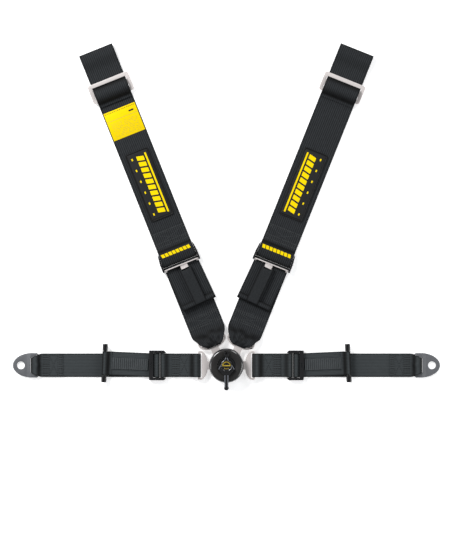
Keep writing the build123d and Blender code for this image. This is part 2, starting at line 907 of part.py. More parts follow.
def lap_feed(belt):
    """The stretch of lap webbing that runs through the adjuster and back as the tail."""
    place = lap_turn_place
    centre = first_layer + lap_turn
    top = centre + lap_turn
    with BuildPart() as piece:
        with BuildSketch(upright(belt)):
            run((place, first_layer), (outer_strap_start - lay_gap, first_layer))
            turn((place, centre), lap_turn, 90)
            run(
                (place, top),
                (place + crest, top),
                (lap_tail_landing, tail_layer),
                (lap_tail_start + lap_tail_overlap, tail_layer),
            )
        extrude(amount=lap_width / 2, both=True)
        with BuildSketch(upright(swung(belt, place, lap_tail_swing))):
            run((lap_tail_start, tail_layer), (tail_loop_start - lay_gap, tail_layer))
        extrude(amount=lap_width / 2, both=True)
    return piece


def grip_strip(belt):
    """Ribbed strip sewn along the tail."""
    height = tail_layer + webbing / 2
    length = grip_end - grip_start
    with BuildPart() as piece:
        with BuildSketch(lying(swung(belt, lap_turn_place, lap_tail_swing), height)):
            with Locations((grip_start + length / 2, belt.side * 0.5)):
                RectangleRounded(length, grip_width, 2)
        extrude(amount=grip_thickness)
    return piece


def tail_loop(belt):
    """The tail's end, sewn back on itself round the pull bar."""
    centre = tail_layer + tbar_turn
    top = centre + tbar_turn
    upper = tail_layer + ply_pitch
    with BuildPart() as piece:
        with BuildSketch(upright(swung(belt, lap_turn_place, lap_tail_swing))):
            run((tail_loop_start, tail_layer), (tbar_place, tail_layer))
            turn((tbar_place, centre), tbar_turn, -90)
            run(
                (tbar_place, top),
                (tbar_place - crest, top),
                (tail_loop_start + 4, upper),
                (tail_loop_start, upper),
                bend=1.5,
            )
        extrude(amount=lap_width / 2, both=True)
    return piece


def tbar_rod(belt):
    """Steel rod of the pull bar."""
    with BuildPart() as piece:
        with BuildSketch(upright(swung(belt, lap_turn_place, lap_tail_swing))):
            with Locations((tbar_place, tail_layer + tbar_turn)):
                Circle(tbar_radius)
        extrude(amount=tbar_length / 2 - tbar_rod_inset, both=True)
    return piece


def tbar_caps(belt):
    """The two end caps of the pull bar."""
    tail = swung(belt, lap_turn_place, lap_tail_swing)
    with BuildPart() as piece:
        with BuildSketch(upright(tail)):
            with Locations((tbar_place, tail_layer + tbar_turn)):
                Circle(tbar_cap_radius)
        extrude(amount=tbar_length / 2, both=True)
        with BuildSketch(upright(tail)):
            with Locations((tbar_place, tail_layer + tbar_turn)):
                Circle(tbar_cap_radius + 1)
        extrude(amount=tbar_length / 2 - tbar_cap_length, both=True, mode=Mode.SUBTRACT)
        with BuildSketch(upright(tail)):
            with Locations((tbar_place, tail_layer + tbar_turn)):
                Circle(tbar_radius + shaft_gap)
        extrude(amount=tbar_length / 2 - tbar_rod_inset + shaft_gap, both=True, mode=Mode.SUBTRACT)
    return piece


def outer_strap(belt):
    """Outer lap webbing, sewn in a loop round the bracket's bar and gathered into its slot."""
    place = bracket_bar_place
    centre = first_layer + flat_bar_turn
    top = centre + flat_bar_turn
    half = lap_width / 2
    with BuildPart() as piece:
        with BuildSketch(upright(belt)):
            run((outer_strap_start, first_layer), (place, first_layer))
            turn((place, centre), flat_bar_turn, -90)
            run(
                (outer_sewn_start, second_layer),
                (outer_sewn_end, second_layer),
                (place - 4, top),
                (place, top),
            )
        extrude(amount=half, both=True)
        outline(
            belt,
            both_sides(
                [
                    (outer_strap_start - 1, half),
                    (outer_sewn_end, half),
                    (place - 10, half - 3.5),
                    (place + 5, bracket_slot_half - 2),
                ]
            ),
        )
    return piece


def bracket(belt):
    """Bolt-in end bracket: a bar for the webbing, joggled down to a flat eye."""
    bar_height = first_layer + flat_bar_turn
    eye_height = bracket_thickness / 2
    half = bracket_width / 2
    nose_middle = bracket_reach - half * 1.55
    with BuildPart() as piece:
        with BuildSketch(upright(belt)):
            with BuildLine():
                FilletPolyline(
                    (bracket_start - 1, bar_height),
                    (bracket_slot_edge - 1, bar_height),
                    (bracket_slot_edge + 7, eye_height),
                    (bracket_reach + 1, eye_height),
                    radius=4,
                )
            trace(line_width=bracket_thickness)
        extrude(amount=half + 1, both=True)
        with BuildSketch(lying(belt, -1)) as plan:
            with BuildLine():
                Line((bracket_start, -half + 3), (bracket_start, half - 3))
                Line((bracket_start, half - 3), (bracket_start + 4, half))
                Line((bracket_start + 4, half), (nose_middle, half))
                EllipticalCenterArc((nose_middle, 0), half * 1.55, half, start_angle=-90, arc_size=180)
                Line((nose_middle, -half), (bracket_start + 4, -half))
                Line((bracket_start + 4, -half), (bracket_start, -half + 3))
            make_face()
        extrude(amount=30, dir=(0, 0, 1), mode=Mode.INTERSECT)
        inner_half = half - 3.5
        outline(
            belt,
            both_sides(
                [
                    (bracket_start - 2, inner_half),
                    (bracket_start + 3, inner_half),
                    (bracket_slot_edge - 3, bracket_slot_half),
                    (bracket_slot_edge, bracket_slot_half - 2),
                ]
            ),
            mode=Mode.SUBTRACT,
        )
        with BuildSketch(lying(belt, bar_height - bracket_thickness / 2)):
            with Locations((bracket_bar_place, 0)):
                Rectangle(bracket_bar_width, 2 * inner_half + 2)
        extrude(amount=bracket_thickness)
        with BuildSketch(lying(belt)):
            with Locations((bracket_hole_place, 0)):
                Circle(bracket_hole_radius)
        extrude(amount=2 * bracket_thickness, mode=Mode.SUBTRACT)
    return piece


# ---- every belt ----------------------------------------------------------------------------
for belt in laps:
    name = "right" if belt.side > 0 else "left"
    save(tongue(belt), f"{name}_lap_tongue")
    save(inner_strap(belt), f"{name}_lap_inner_strap")
    save(lap_frame(belt), f"{name}_lap_adjuster_frame")
    save(lap_turn_bar(belt), f"{name}_lap_adjuster_bar")
    save(lap_feed(belt), f"{name}_lap_feed_webbing")
    save(grip_strip(belt), f"{name}_lap_grip_strip")
    save(tail_loop(belt), f"{name}_lap_tail_loop")
    save(tbar_rod(belt), f"{name}_pull_bar_rod")
    save(tbar_caps(belt), f"{name}_pull_bar_caps")
    save(outer_strap(belt), f"{name}_lap_outer_strap")
    save(bracket(belt), f"{name}_lap_bracket")

for belt in shoulders:
    name = "right" if belt.side > 0 else "left"
    save(tongue(belt), f"{name}_shoulder_tongue")
    save(lower_strap(belt), f"{name}_shoulder_lower_strap")
    save(shoulder_feed(belt), f"{name}_shoulder_feed_webbing")
    save(hem(belt), f"{name}_shoulder_tail_hem")
    save(shoulder_frame(belt), f"{name}_shoulder_adjuster_frame")
    save(lock_bar(belt), f"{name}_shoulder_lock_bar")
    save(release_strap(belt), f"{name}_shoulder_release_strap")
    save(upper_strap(belt), f"{name}_shoulder_upper_strap")
    save(badge(belt), f"{name}_shoulder_badge")
    save(three_bar_slide(belt), f"{name}_shoulder_slide")
    save(anchor_loop(belt), f"{name}_shoulder_anchor_loop")

save(care_label(shoulders[1]), "left_shoulder_label")
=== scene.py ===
"""Racing harness laid out flat: a rotary buckle, two lap belts and two shoulder belts.

Every belt is modelled in millimetres in a frame of its own: x runs outwards along the belt, y to
the left of that and z up. It is then turned and shrunk to its place round the buckle's middle.
"""

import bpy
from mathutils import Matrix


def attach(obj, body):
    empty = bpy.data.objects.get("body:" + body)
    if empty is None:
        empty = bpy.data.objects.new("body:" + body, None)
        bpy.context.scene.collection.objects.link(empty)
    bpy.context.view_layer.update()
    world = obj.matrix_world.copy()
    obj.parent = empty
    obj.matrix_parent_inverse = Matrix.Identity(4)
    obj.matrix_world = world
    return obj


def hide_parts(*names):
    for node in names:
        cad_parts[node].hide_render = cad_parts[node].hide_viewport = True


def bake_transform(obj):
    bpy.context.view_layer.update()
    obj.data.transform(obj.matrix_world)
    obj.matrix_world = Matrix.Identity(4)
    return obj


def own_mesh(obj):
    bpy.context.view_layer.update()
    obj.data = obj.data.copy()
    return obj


bl_info = {
    "name": "Racing harness",
    "version": (1, 0, 0),
    "blender": (4, 5, 0),
    "location": "View3D > Sidebar > Harness",
    "description": "Builds a four-point racing harness over its CAD frame",
    "category": "Add Mesh",
}

from math import atan2, cos, hypot, radians, sin

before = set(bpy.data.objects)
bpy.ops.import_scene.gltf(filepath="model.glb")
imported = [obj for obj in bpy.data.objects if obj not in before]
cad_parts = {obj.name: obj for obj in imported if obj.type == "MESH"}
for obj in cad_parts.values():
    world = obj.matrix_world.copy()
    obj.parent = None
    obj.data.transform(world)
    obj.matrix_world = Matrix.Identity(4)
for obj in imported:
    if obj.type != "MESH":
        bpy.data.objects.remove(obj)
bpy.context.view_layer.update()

import bmesh
import bpy
from bpy.props import FloatProperty, FloatVectorProperty, IntProperty, PointerProperty
from mathutils import Matrix, Vector

MM = 0.001

# ---- places along the belts, in millimetres --------------------------------------------------
SHOULDER_SPLAY = 21.8
SHOULDER_OFFSET = 10.0
SHOULDER_TAIL_SWING = 3.2
LAP_TAIL_SWING = 2.5
LAP_HALF = 25.0
LAP_CELLS = 14
SHOULDER_HALF = 37.5
FIRST_LAYER = 0.7  # heights of the webbing's layers over the floor
SECOND_LAYER = 2.05
TAIL_LAYER = 4.1
STITCH_RISE = 0.68  # from a layer's middle up to its stitches
TONGUE_BAR = (58.2, 7.8)
SHOULDER_TURN_BAR = (232.0, 3.75)
LAP_TURN_BAR = (146.0, 3.75)
PULL_BAR = (258.0, 8.95)
CROSSBAR = (220.4, 8.5)
CROSSBAR_TURN = 2.05
CROSSBAR_SLIT = 8.5
FLAT_BAR_TURN = 3.55
TURN_BAR_TURN = 3.05
PULL_BAR_TURN = 4.85


class Belt:
    """A belt's own frame: which side it is on, where it starts and which way it runs."""

    def __init__(self, side, start, heading):
        self.side = side
        self.start = Vector((*start, 0))
        self.heading = heading

    def matrix(self):
        turned = Matrix.Rotation(radians(self.heading), 4, "Z")
        return Matrix.Translation(self.start * MM) @ turned @ Matrix.Scale(MM, 4)

    def point(self, along):
        return self.matrix() @ Vector((along, 0, 0))

    def swung(self, pivot, swing):
        heading = self.heading + self.side * swing
        old = Vector((cos(radians(self.heading)), sin(radians(self.heading)), 0))
        new = Vector((cos(radians(heading)), sin(radians(heading)), 0))
        start = self.start + old * pivot - new * pivot
        return Belt(self.side, start[:2], heading)


SIDES = {"right": 1, "left": -1}
CENTRE = Belt(1, (0, 0), 0)


def lap_belt(side):
    return Belt(side, (0, 0), 90 - 90 * side)


def shoulder_belt(side):
    return Belt(side, (side * SHOULDER_OFFSET, 0), 90 - side * SHOULDER_SPLAY)


def lap_tail_belt(side):
    return lap_belt(side).swung(LAP_TURN_BAR[0], LAP_TAIL_SWING)


def shoulder_tail_belt(side):
    return shoulder_belt(side).swung(SHOULDER_TURN_BAR[0], -SHOULDER_TAIL_SWING)


# ---- settings --------------------------------------------------------------------------------
def length(name, description, default):
    return FloatProperty(name=name, description=description, default=default, unit="LENGTH")


def colour(name, description, default):
    return FloatVectorProperty(
        name=name, description=description, default=default, subtype="COLOR", size=3, min=0, max=1
    )


class HarnessSizes(bpy.types.PropertyGroup):
    """Sizes that a user would change."""

    webbing: length("Webbing", "Thickness of one layer of webbing", 0.0013)
    webbing_round: length("Webbing edge", "Rounding of the webbing's woven edges", 0.0004)
    shoulder_rib: length("Shoulder rib", "Pitch of the ribs along the shoulder webbing", 0.0042)
    lap_rib: length("Lap rib", "Pitch of the ribs along the lap webbing", 0.0031)
    stitch: length("Stitch", "Length of one stitch", 0.0028)
    stitch_pitch: length("Stitch pitch", "From one stitch to the next", 0.0040)
    metal_round: length("Metal edge", "Rounding of the steel parts' edges", 0.0005)
    view_width: length("View width", "Width of floor that the camera takes in", 0.954)
    view_distance: length("View distance", "Height of the camera over the floor", 5.2)
    cells: IntProperty(name="Cells", description="Faces across a belt", default=20, min=4)


class HarnessColours(bpy.types.PropertyGroup):
    """Colours that a user would change."""

    shoulder: colour("Shoulder webbing", "Yarn of the shoulder belts", (0.017, 0.019, 0.021))
    lap: colour("Lap webbing", "Yarn of the lap belts", (0.040, 0.046, 0.049))
    thread: colour("Thread", "Sewing thread", (0.030, 0.033, 0.035))
    gloss_black: colour("Gloss black", "Coating of the adjusters and lever", (0.006, 0.006, 0.007))
    satin_black: colour("Satin black", "Top of the buckle", (0.016, 0.015, 0.0145))
    silver: colour("Silver", "Tongues, slides and lock bars", (0.68, 0.635, 0.62))
    grey_paint: colour("Grey paint", "End brackets", (0.115, 0.12, 0.13))
    yellow: colour("Yellow", "Stripes and label", (1.0, 0.72, 0.0))
    gold: colour("Gold", "Ring on the lever's cap", (0.85, 0.62, 0.06))
    floor: colour("Floor", "Floor under the harness", (0.93, 0.93, 0.935))


def sizes():
    return bpy.context.scene.harness_sizes


def colours():
    return bpy.context.scene.harness_colours


# ---- shader maths ----------------------------------------------------------------------------
class Wire:
    """A socket's value: sums with it add Math nodes to its material."""

    def __init__(self, tree, socket):
        self.tree = tree
        self.socket = socket

    def maths(self, operation, *values):
        inputs = {index: value for index, value in enumerate(values)}
        return add_node(self.tree, "ShaderNodeMath", {"operation": operation}, inputs)

    def __add__(self, other):
        return self.maths("ADD", self, other)

    def __sub__(self, other):
        return self.maths("SUBTRACT", self, other)

    def __rsub__(self, other):
        return self.maths("SUBTRACT", other, self)

    def __mul__(self, other):
        return self.maths("MULTIPLY", self, other)

    def __truediv__(self, other):
        return self.maths("DIVIDE", self, other)

    def wave(self):
        """From 0 up to 1 and back over each unit."""
        return self.maths("PINGPONG", self, 0.5) * 2

    def step(self, edge):
        return self.maths("GREATER_THAN", self, edge)

    def call(self, operation, *values):
        return self.maths(operation, self, *values)


def add_node(tree, kind, settings=None, inputs=None, output=0):
    """Adds a node, sets it up, then fills its sockets with values or links."""
    node = tree.nodes.new(kind)
    for name, value in (settings or {}).items():
        setattr(node, name, value)
    for name, value in (inputs or {}).items():
        socket = node.inputs[name]
        if isinstance(value, Wire):
            tree.links.new(value.socket, socket)
        else:
            socket.default_value = value
    return Wire(tree, node.outputs[output])


class Finish:
    """A material under construction."""

    def __init__(self, name, **shader):
        self.material = bpy.data.materials.new(name)
        self.material.use_nodes = True
        self.tree = self.material.node_tree
        self.shader = self.tree.nodes["Principled BSDF"]
        for socket, value in shader.items():
            self.shader.inputs[socket.replace("_", " ")].default_value = value

    def add(self, kind, settings=None, output=0, **inputs):
        named = {name.replace("_", " "): value for name, value in inputs.items()}
        return add_node(self.tree, kind, settings, named, output)

    def attribute(self, name):
        return self.add("ShaderNodeAttribute", {"attribute_name": name}, output="Vector")

    def place(self):
        return self.add("ShaderNodeTexCoord", output="Object")

    def parts(self, vector):
        """A vector's three numbers."""
        kind = "ShaderNodeSeparateXYZ"
        return [self.add(kind, output=index, Vector=vector) for index in range(3)]

    def noise(self, scale, detail=3.0):
        return self.add("ShaderNodeTexNoise", Vector=self.place(), Scale=scale, Detail=detail)

    def spread(self, value, low, high):
        """Stretches 0 to 1 over low to high."""
        return value * (high - low) + low

    def mix(self, share, first, second):
        """Mixes two colours, each a triple or a link."""
        inputs = {"Factor": share}
        inputs[6] = first if isinstance(first, Wire) else (*first, 1)
        inputs[7] = second if isinstance(second, Wire) else (*second, 1)
        return add_node(self.tree, "ShaderNodeMix", {"data_type": "RGBA"}, inputs, 2)

    def feed(self, socket, wire):
        self.tree.links.new(wire.socket, self.shader.inputs[socket])

    def bump(self, height, distance, strength=1.0):
        lifted = self.add("ShaderNodeBump", Height=height, Distance=distance, Strength=strength)
        self.feed("Normal", lifted)


def shade(tone, factor):
    return tuple(min(1.0, part * factor) for part in tone)


def webbing_finish(name, yarn, rib, contrast, sheen):
    """Woven webbing: lengthwise ribs, each a column of short floats in a staggered weave."""
    finish = Finish(
        name, Roughness=0.72, Sheen_Weight=sheen, Sheen_Roughness=0.4, Specular_IOR_Level=0.16
    )
    finish.shader.inputs["Sheen Tint"].default_value = (0.5, 0.58, 0.62, 1)
    across, along, edge = finish.parts(finish.attribute("weave"))
    wander = finish.noise(9.0, 2.0) - 0.5
    column = across / (rib / MM) + wander * 0.22
    ribs = column.wave()
    stagger = (column.call("FLOOR") * 0.5).call("FRACT")
    floats = (along / (rib * 0.62 / MM) + stagger).wave()
    fine = (across / (rib * 0.25 / MM)).wave() * (along / (rib * 0.2 / MM)).wave()
    mottle = finish.noise(240.0, 3.0)
    patch = finish.noise(22.0, 2.0)
    height = ribs * 0.5 + floats * ribs * 0.35 + fine * 0.15
    # The weave's colour follows its relief: painted shade in the grooves between ribs and floats,
    # and painted highlight on their tops. The mottle added on top is random tone.
    tone = ribs * (floats * 0.3 + 0.7) + (mottle - 0.5) * 0.5
    dark = shade(yarn, 1 - contrast)
    light = shade(yarn, 1 + contrast * 1.6)
    body = finish.mix(tone.call("MINIMUM", 1.0).call("MAXIMUM", 0.0), dark, light)
    worn = finish.mix(finish.spread(patch, 0.0, 0.3), body, shade(yarn, 1.15))
    selvedge = finish.add("ShaderNodeMapRange", Value=edge, From_Min=1.2, From_Max=2.6)
    # Steep faces are mixed towards near black: painted shade on the slopes of folds, rolls and
    # loops.
    shade_slope, _, _ = finish.parts(finish.attribute("painted_shade_slope"))
    steep_shade = finish.add("ShaderNodeMapRange", Value=shade_slope, From_Min=0.1, From_Max=0.7, To_Max=0.95)
    edged = finish.mix(selvedge, shade(yarn, 0.4), worn)
    finish.feed("Base Color", finish.mix(steep_shade, edged, shade(yarn, 0.06)))
    finish.feed("Roughness", finish.spread(mottle, 0.62, 0.85))
    finish.bump(height, 0.0005, 0.8)
    return finish.material


def thread_finish(name, tone):
    finish = Finish(name, Roughness=0.6, Sheen_Weight=0.1, Specular_IOR_Level=0.25)
    twist = finish.noise(900.0, 2.0)
    finish.feed("Base Color", finish.mix(twist, shade(tone, 0.6), shade(tone, 1.5)))
    finish.bump(twist, 0.0002, 0.5)
    return finish.material


def metal_finish(name, tone, roughness, grain, metallic=1.0, coat=0.0, wear=0.12):
    """Steel or coated metal with a fine grain, faint smudges and lighter high spots."""
    finish = Finish(
        name, Metallic=metallic, Roughness=roughness, Coat_Weight=coat, Coat_Roughness=0.08
    )
    fine = finish.noise(grain, 4.0)
    smudge = finish.noise(38.0, 3.0)
    marks = finish.noise(420.0, 6.0)
    tint = finish.mix(finish.spread(fine, 0.2, 0.8), shade(tone, 1 - wear), shade(tone, 1 + wear))
    flecks = finish.add(
        "ShaderNodeMapRange", Value=marks, From_Min=0.68, From_Max=0.78, To_Max=0.35
    )
    finish.feed("Base Color", finish.mix(flecks, tint, shade(tone, 1.6)))
    finish.feed("Roughness", finish.spread(smudge, roughness - 0.06, roughness + 0.1) + fine * 0.04)
    finish.bump(fine, 0.00008, 0.25)
    return finish.material


def rubber_finish(name, tone, roughness=0.55):
    finish = Finish(name, Roughness=roughness, Specular_IOR_Level=0.3)
    pores = finish.noise(1400.0, 3.0)
    patch = finish.noise(60.0, 2.0)
    finish.feed("Base Color", finish.mix(patch, shade(tone, 0.8), shade(tone, 1.25)))
    finish.feed("Roughness", finish.spread(pores, roughness - 0.08, roughness + 0.14))
    finish.bump(pores, 0.0001, 0.4)
    return finish.material


def printed_finish(name, tone):
    """Raised print in matt ink."""
    finish = Finish(name, Roughness=0.5, Specular_IOR_Level=0.1)
    grain = finish.noise(700.0, 3.0)
    finish.feed("Base Color", finish.mix(grain, shade(tone, 0.86), shade(tone, 1.04)))
    finish.feed("Roughness", finish.spread(grain, 0.42, 0.6))
    finish.bump(grain, 0.0001, 0.4)
    return finish.material


def label_finish(name, tone, belt):
    """Woven label with plain ruled lines: x runs along the belt and y across it, in metres."""
    finish = Finish(name, Roughness=0.6, Specular_IOR_Level=0.1)
    turned = finish.add(
        "ShaderNodeMapping",
        {"vector_type": "TEXTURE"},
        Vector=finish.place(),
        Location=belt.start * MM,
        Rotation=(0, 0, radians(belt.heading)),
    )
    along, across, _ = finish.parts(turned)
    rows = (along / 0.0031).wave().step(0.72)
    ragged = finish.noise(330.0, 1.0).step(0.47)
    lower = (0.5615 - along).step(0.0) * (along - 0.5285).step(0.0)
    inside = (0.0285 - across.call("ABSOLUTE")).step(0.0)
    ruled = rows * ragged * lower * inside * 0.55
    rule = (0.0005 - (along - 0.5665).call("ABSOLUTE")).step(0.0) * 0.6
    weave = (along / 0.0006).wave() * (across / 0.0006).wave()
    ink = (ruled + rule).call("MINIMUM", 1.0)
    cloth = finish.mix(weave, shade(tone, 0.9), tone)
    finish.feed("Base Color", finish.mix(ink, cloth, (0.33, 0.27, 0.10)))
    finish.bump(weave, 0.00015, 0.5)
    return finish.material


def floor_finish(name, tone):
    finish = Finish(name, Roughness=0.9, Specular_IOR_Level=0.1, Emission_Strength=0.48)
    finish.shader.inputs["Emission Color"].default_value = (1, 1, 1, 1)
    haze = finish.noise(2.0, 2.0)
    finish.feed("Base Color", finish.mix(haze, shade(tone, 0.995), shade(tone, 1.005)))
    return finish.material


FINISHES = {}


def finish(name):
    """A finish by name, made once."""
    if name not in FINISHES:
        tones = colours()
        makers = {
            "shoulder_webbing": (webbing_finish, tones.shoulder, sizes().shoulder_rib, 0.75, 0.03),
            "lap_webbing": (webbing_finish, tones.lap, sizes().lap_rib, 0.3, 0.04),
            "pull_webbing": (webbing_finish, tones.shoulder, 0.0016, 0.3, 0.05),
            "thread": (thread_finish, tones.thread),
            "dark_thread": (thread_finish, shade(tones.thread, 0.12)),
            "gloss_black": (metal_finish, tones.gloss_black, 0.2, 300.0, 0.0, 1.0, 0.2),
            "satin_black": (metal_finish, tones.satin_black, 0.42, 500.0, 0.0, 0.0, 0.15),
            "silver_steel": (metal_finish, tones.silver, 0.4, 260.0, 0.15, 0.0, 0.04),
            "inner_steel": (metal_finish, tones.silver, 0.3, 400.0),
            "grey_steel": (metal_finish, tones.grey_paint, 0.55, 700.0, 0.0, 0.0, 0.06),
            # Light steel for the raised lines of painted highlight along the lever's edges.
            "bright_edge": (metal_finish, (0.30, 0.32, 0.36), 0.3, 300.0, 0.4),
            "gold": (metal_finish, tones.gold, 0.35, 300.0, 0.3),
            "black_rubber": (rubber_finish, shade(tones.gloss_black, 0.4)),
            "badge_field": (rubber_finish, (0.013, 0.0135, 0.014), 0.8),
            "black_plastic": (rubber_finish, tones.gloss_black, 0.3),
            "grip_rubber": (rubber_finish, (0.06, 0.067, 0.071), 0.5),
            "yellow_print": (printed_finish, tones.yellow),
            "label_cloth": (label_finish, tones.yellow, shoulder_belt(-1)),
            "floor": (floor_finish, tones.floor),
        }
        make, *values = makers[name]
        FINISHES[name] = make(name, *values)
    return FINISHES[name]


# ---- modelling by operators ------------------------------------------------------------------
def start_clean():
    if bpy.context.object and bpy.context.object.mode != "OBJECT":
        bpy.ops.object.mode_set(mode="OBJECT")
    bpy.ops.object.select_all(action="DESELECT")


def activate(obj):
    start_clean()
    obj.select_set(True)
    bpy.context.view_layer.objects.active = obj
    return obj


def edit(obj, mode="VERT"):
    """Opens a piece in edit mode with nothing selected."""
    activate(obj)
    bpy.ops.object.mode_set(mode="EDIT")
    bpy.ops.mesh.select_mode(type=mode)
    bpy.ops.mesh.select_all(action="DESELECT")


def close():
    bpy.ops.object.mode_set(mode="OBJECT")


def pick(test, kind="VERT"):
    """Selects what passes a test, in edit mode."""
    bpy.ops.mesh.select_mode(type=kind)
    bpy.ops.mesh.select_all(action="DESELECT")
    mesh = bmesh.from_edit_mesh(bpy.context.edit_object.data)
    items = {"VERT": mesh.verts, "EDGE": mesh.edges, "FACE": mesh.faces}[kind]
    for item in items:
        if test(item):
            item.select_set(True)
    mesh.select_flush_mode()
    bmesh.update_edit_mesh(bpy.context.edit_object.data, loop_triangles=False, destructive=False)


def modify(obj, kind, **settings):
    """Adds a modifier and applies it."""
    activate(obj)
    modifier = obj.modifiers.new(kind.title(), kind)
    for name, value in settings.items():
        setattr(modifier, name, value)
    if kind == "SUBSURF":
        modifier.render_levels = modifier.levels
    bpy.ops.object.modifier_apply(modifier=modifier.name)
    return obj


def settle(obj):
    """Bakes a piece's place, turn and size into its mesh."""
    activate(obj)
    bpy.ops.object.transform_apply(location=True, rotation=True, scale=True)
    return obj


def face_outwards():
    """Turns every face outwards, in edit mode."""
    bpy.ops.mesh.select_all(action="SELECT")
    bpy.ops.mesh.normals_make_consistent(inside=False)


def soften(obj, width, segments=2, angle=32.0):
    """Rounds the sharp edges and shades the rest smooth."""
    modify(
        obj, "BEVEL", width=width, segments=segments, limit_method="ANGLE",
        angle_limit=radians(angle), use_clamp_overlap=True, miter_outer="MITER_ARC",
    )
    activate(obj)
    bpy.ops.object.shade_smooth_by_angle(angle=radians(angle))
    return obj


def seat(obj, name, belt, body, material, nodes=()):
    """Names a piece, moves it from its belt's frame to its place and hands it to a body."""
    activate(obj)
    obj.name = name
    obj.data.name = name
    obj.matrix_world = belt.matrix() @ obj.matrix_world
    settle(obj)
    hand_over(obj, body, material, nodes)
    if "cut" in obj:
        del obj["cut"]
    return obj


def hand_over(obj, body, material, nodes=()):
    if material:
        obj.data.materials.clear()
        obj.data.materials.append(finish(material))
    if body:
        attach(obj, body)
    if nodes:
        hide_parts(*nodes)
    return obj


def cad_copy(node, name, body, material, rounding, segments=2, slot=None):
    """A CAD piece as one clean mesh with rounded edges."""
    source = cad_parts[node]
    obj = bpy.data.objects.new(name, source.data.copy())
    bpy.context.scene.collection.objects.link(obj)
    obj.data.name = name
    obj.data.materials.clear()
    edit(obj)
    bpy.ops.mesh.select_all(action="SELECT")
    bpy.ops.mesh.remove_doubles(threshold=0.000002)
    bpy.ops.mesh.dissolve_limited(angle_limit=radians(0.8))
    bpy.ops.mesh.select_all(action="DESELECT")
    close()
    if rounding:
        soften(obj, rounding, segments)
    return hand_over(obj, body, material, [node])


def finish_node(node, material):
    """A hidden CAD piece keeps its own shape and gets a finish."""
    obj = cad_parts[node]
    obj.data.materials.clear()
    obj.data.materials.append(finish(material))


def ring(centre, radius, start, sweep, steps):
    """Points round a bar, in side view."""
    x, z = centre
    angles = [radians(start + sweep * index / steps) for index in range(steps + 1)]
    return [(x + radius * cos(angle), z + radius * sin(angle)) for angle in angles]


def flat(start, end, height, pitch=9.0):
    """Evenly spaced points along a flat run, in side view."""
    count = max(1, round(abs(end - start) / pitch))
    return [(start + (end - start) * index / count, height) for index in range(count + 1)]


def level(points, half, snug=(0, 0), spare=0.75):
    """Rows of one width through side-view points, a little fuller where a frame holds them."""
    rows = []
    for x, z in points:
        wide = half + spare if snug[0] < x < snug[1] else half
        rows.append((x, z, -wide, wide))
    return rows


def mark_row(width, length_so_far):
    """Notes on the newest row where it lies on the flat webbing."""
    mesh = bmesh.from_edit_mesh(bpy.context.edit_object.data)
    layers = mesh.verts.layers.float_vector
    layer = layers.get("weave") or layers.new("weave")
    row = [vert for vert in mesh.verts if vert.select]
    low = min(vert.co.y for vert in row)
    high = max(vert.co.y for vert in row)
    for vert in row:
        across = ((vert.co.y - low) / (high - low) - 0.5) * width
        vert[layer] = Vector((across, length_so_far, width / 2 - abs(across)))


def lay_webbing(rows, width, cells=None):
    """Extrudes a line across the webbing through rows of (along, height, low, high)."""
    cells = cells or sizes().cells
    start_clean()
    bpy.ops.mesh.primitive_grid_add(
        x_subdivisions=1, y_subdivisions=cells, size=1, location=(0, 0, 0)
    )
    obj = bpy.context.object
    bpy.ops.object.mode_set(mode="EDIT")
    pick(lambda vert: vert.co.x > 0)
    bpy.ops.mesh.delete(type="VERT")
    bpy.ops.mesh.select_all(action="SELECT")
    along, height, low, high = rows[0]
    bpy.ops.transform.resize(value=(1, high - low, 1))
    bpy.ops.transform.translate(value=(along + 0.5, (low + high) / 2, height))
    total = 0.0
    mark_row(width, total)
    for (x, z, a, b), (next_x, next_z, next_a, next_b) in zip(rows, rows[1:]):
        shift = (next_a + next_b - a - b) / 2
        bpy.ops.mesh.extrude_region_move(
            TRANSFORM_OT_translate={"value": (next_x - x, shift, next_z - z)}
        )
        grow = (next_b - next_a) / (b - a)
        if abs(grow - 1) > 0.0001:
            middle = (next_x, (next_a + next_b) / 2, next_z)
            bpy.ops.transform.resize(value=(1, grow, 1), center_override=middle)
        total += hypot(next_x - x, next_z - z)
        obj["cut"] = (width * MM, total * MM)
        mark_row(width, total)
    close()
    return obj


def pull(places, reach, move):
    """Drags the cloth near some places, with a soft falloff, in edit mode."""
    for place in places:
        target = Vector(place)
        mesh = bmesh.from_edit_mesh(bpy.context.edit_object.data)
        nearest = min(mesh.verts, key=lambda vert: (vert.co - target).length_squared)
        pick(lambda vert: vert == nearest)
        bpy.ops.transform.translate(
            value=move,
            use_proportional_edit=True,
            use_proportional_connected=True,
            proportional_edit_falloff="SMOOTH",
            proportional_size=reach,
        )


def weave_solid(obj, levels=1):
    """Smooths a laid strap and gives it the webbing's thickness and rounded edges."""
    thickness = sizes().webbing / MM
    modify(obj, "SUBSURF", levels=levels, boundary_smooth="PRESERVE_CORNERS")
    # Each point's slope is kept for the painted shade that the webbing finish lays on steep faces.
    shade_slopes = obj.data.attributes.new("painted_shade_slope", "FLOAT_VECTOR", "POINT")
    for vert, shade_slope in zip(obj.data.vertices, shade_slopes.data):
        shade_slope.vector = (hypot(vert.normal.x, vert.normal.y), 0, 0)
    modify(obj, "SOLIDIFY", thickness=thickness, offset=0.0, use_even_offset=True)
    edit(obj)
    face_outwards()
    close()
    return soften(obj, sizes().webbing_round / MM, 2, 55.0)


def strap_through(points, half, cells=None, snug=(0, 0)):
    """Webbing of one width through side-view points."""
    return weave_solid(lay_webbing(level(points, half, snug), 2 * half, cells))


def bead_row(shape, count, step):
    """An arrayed row of low beads, each one stitch."""
    start_clean()
    bpy.ops.mesh.primitive_ico_sphere_add(subdivisions=1, radius=1)
    bead = bpy.context.object
    bead.scale = shape
    settle(bead)
    return modify(
        bead, "ARRAY", count=count, use_relative_offset=False, use_constant_offset=True,
        constant_offset_displace=step,
    )


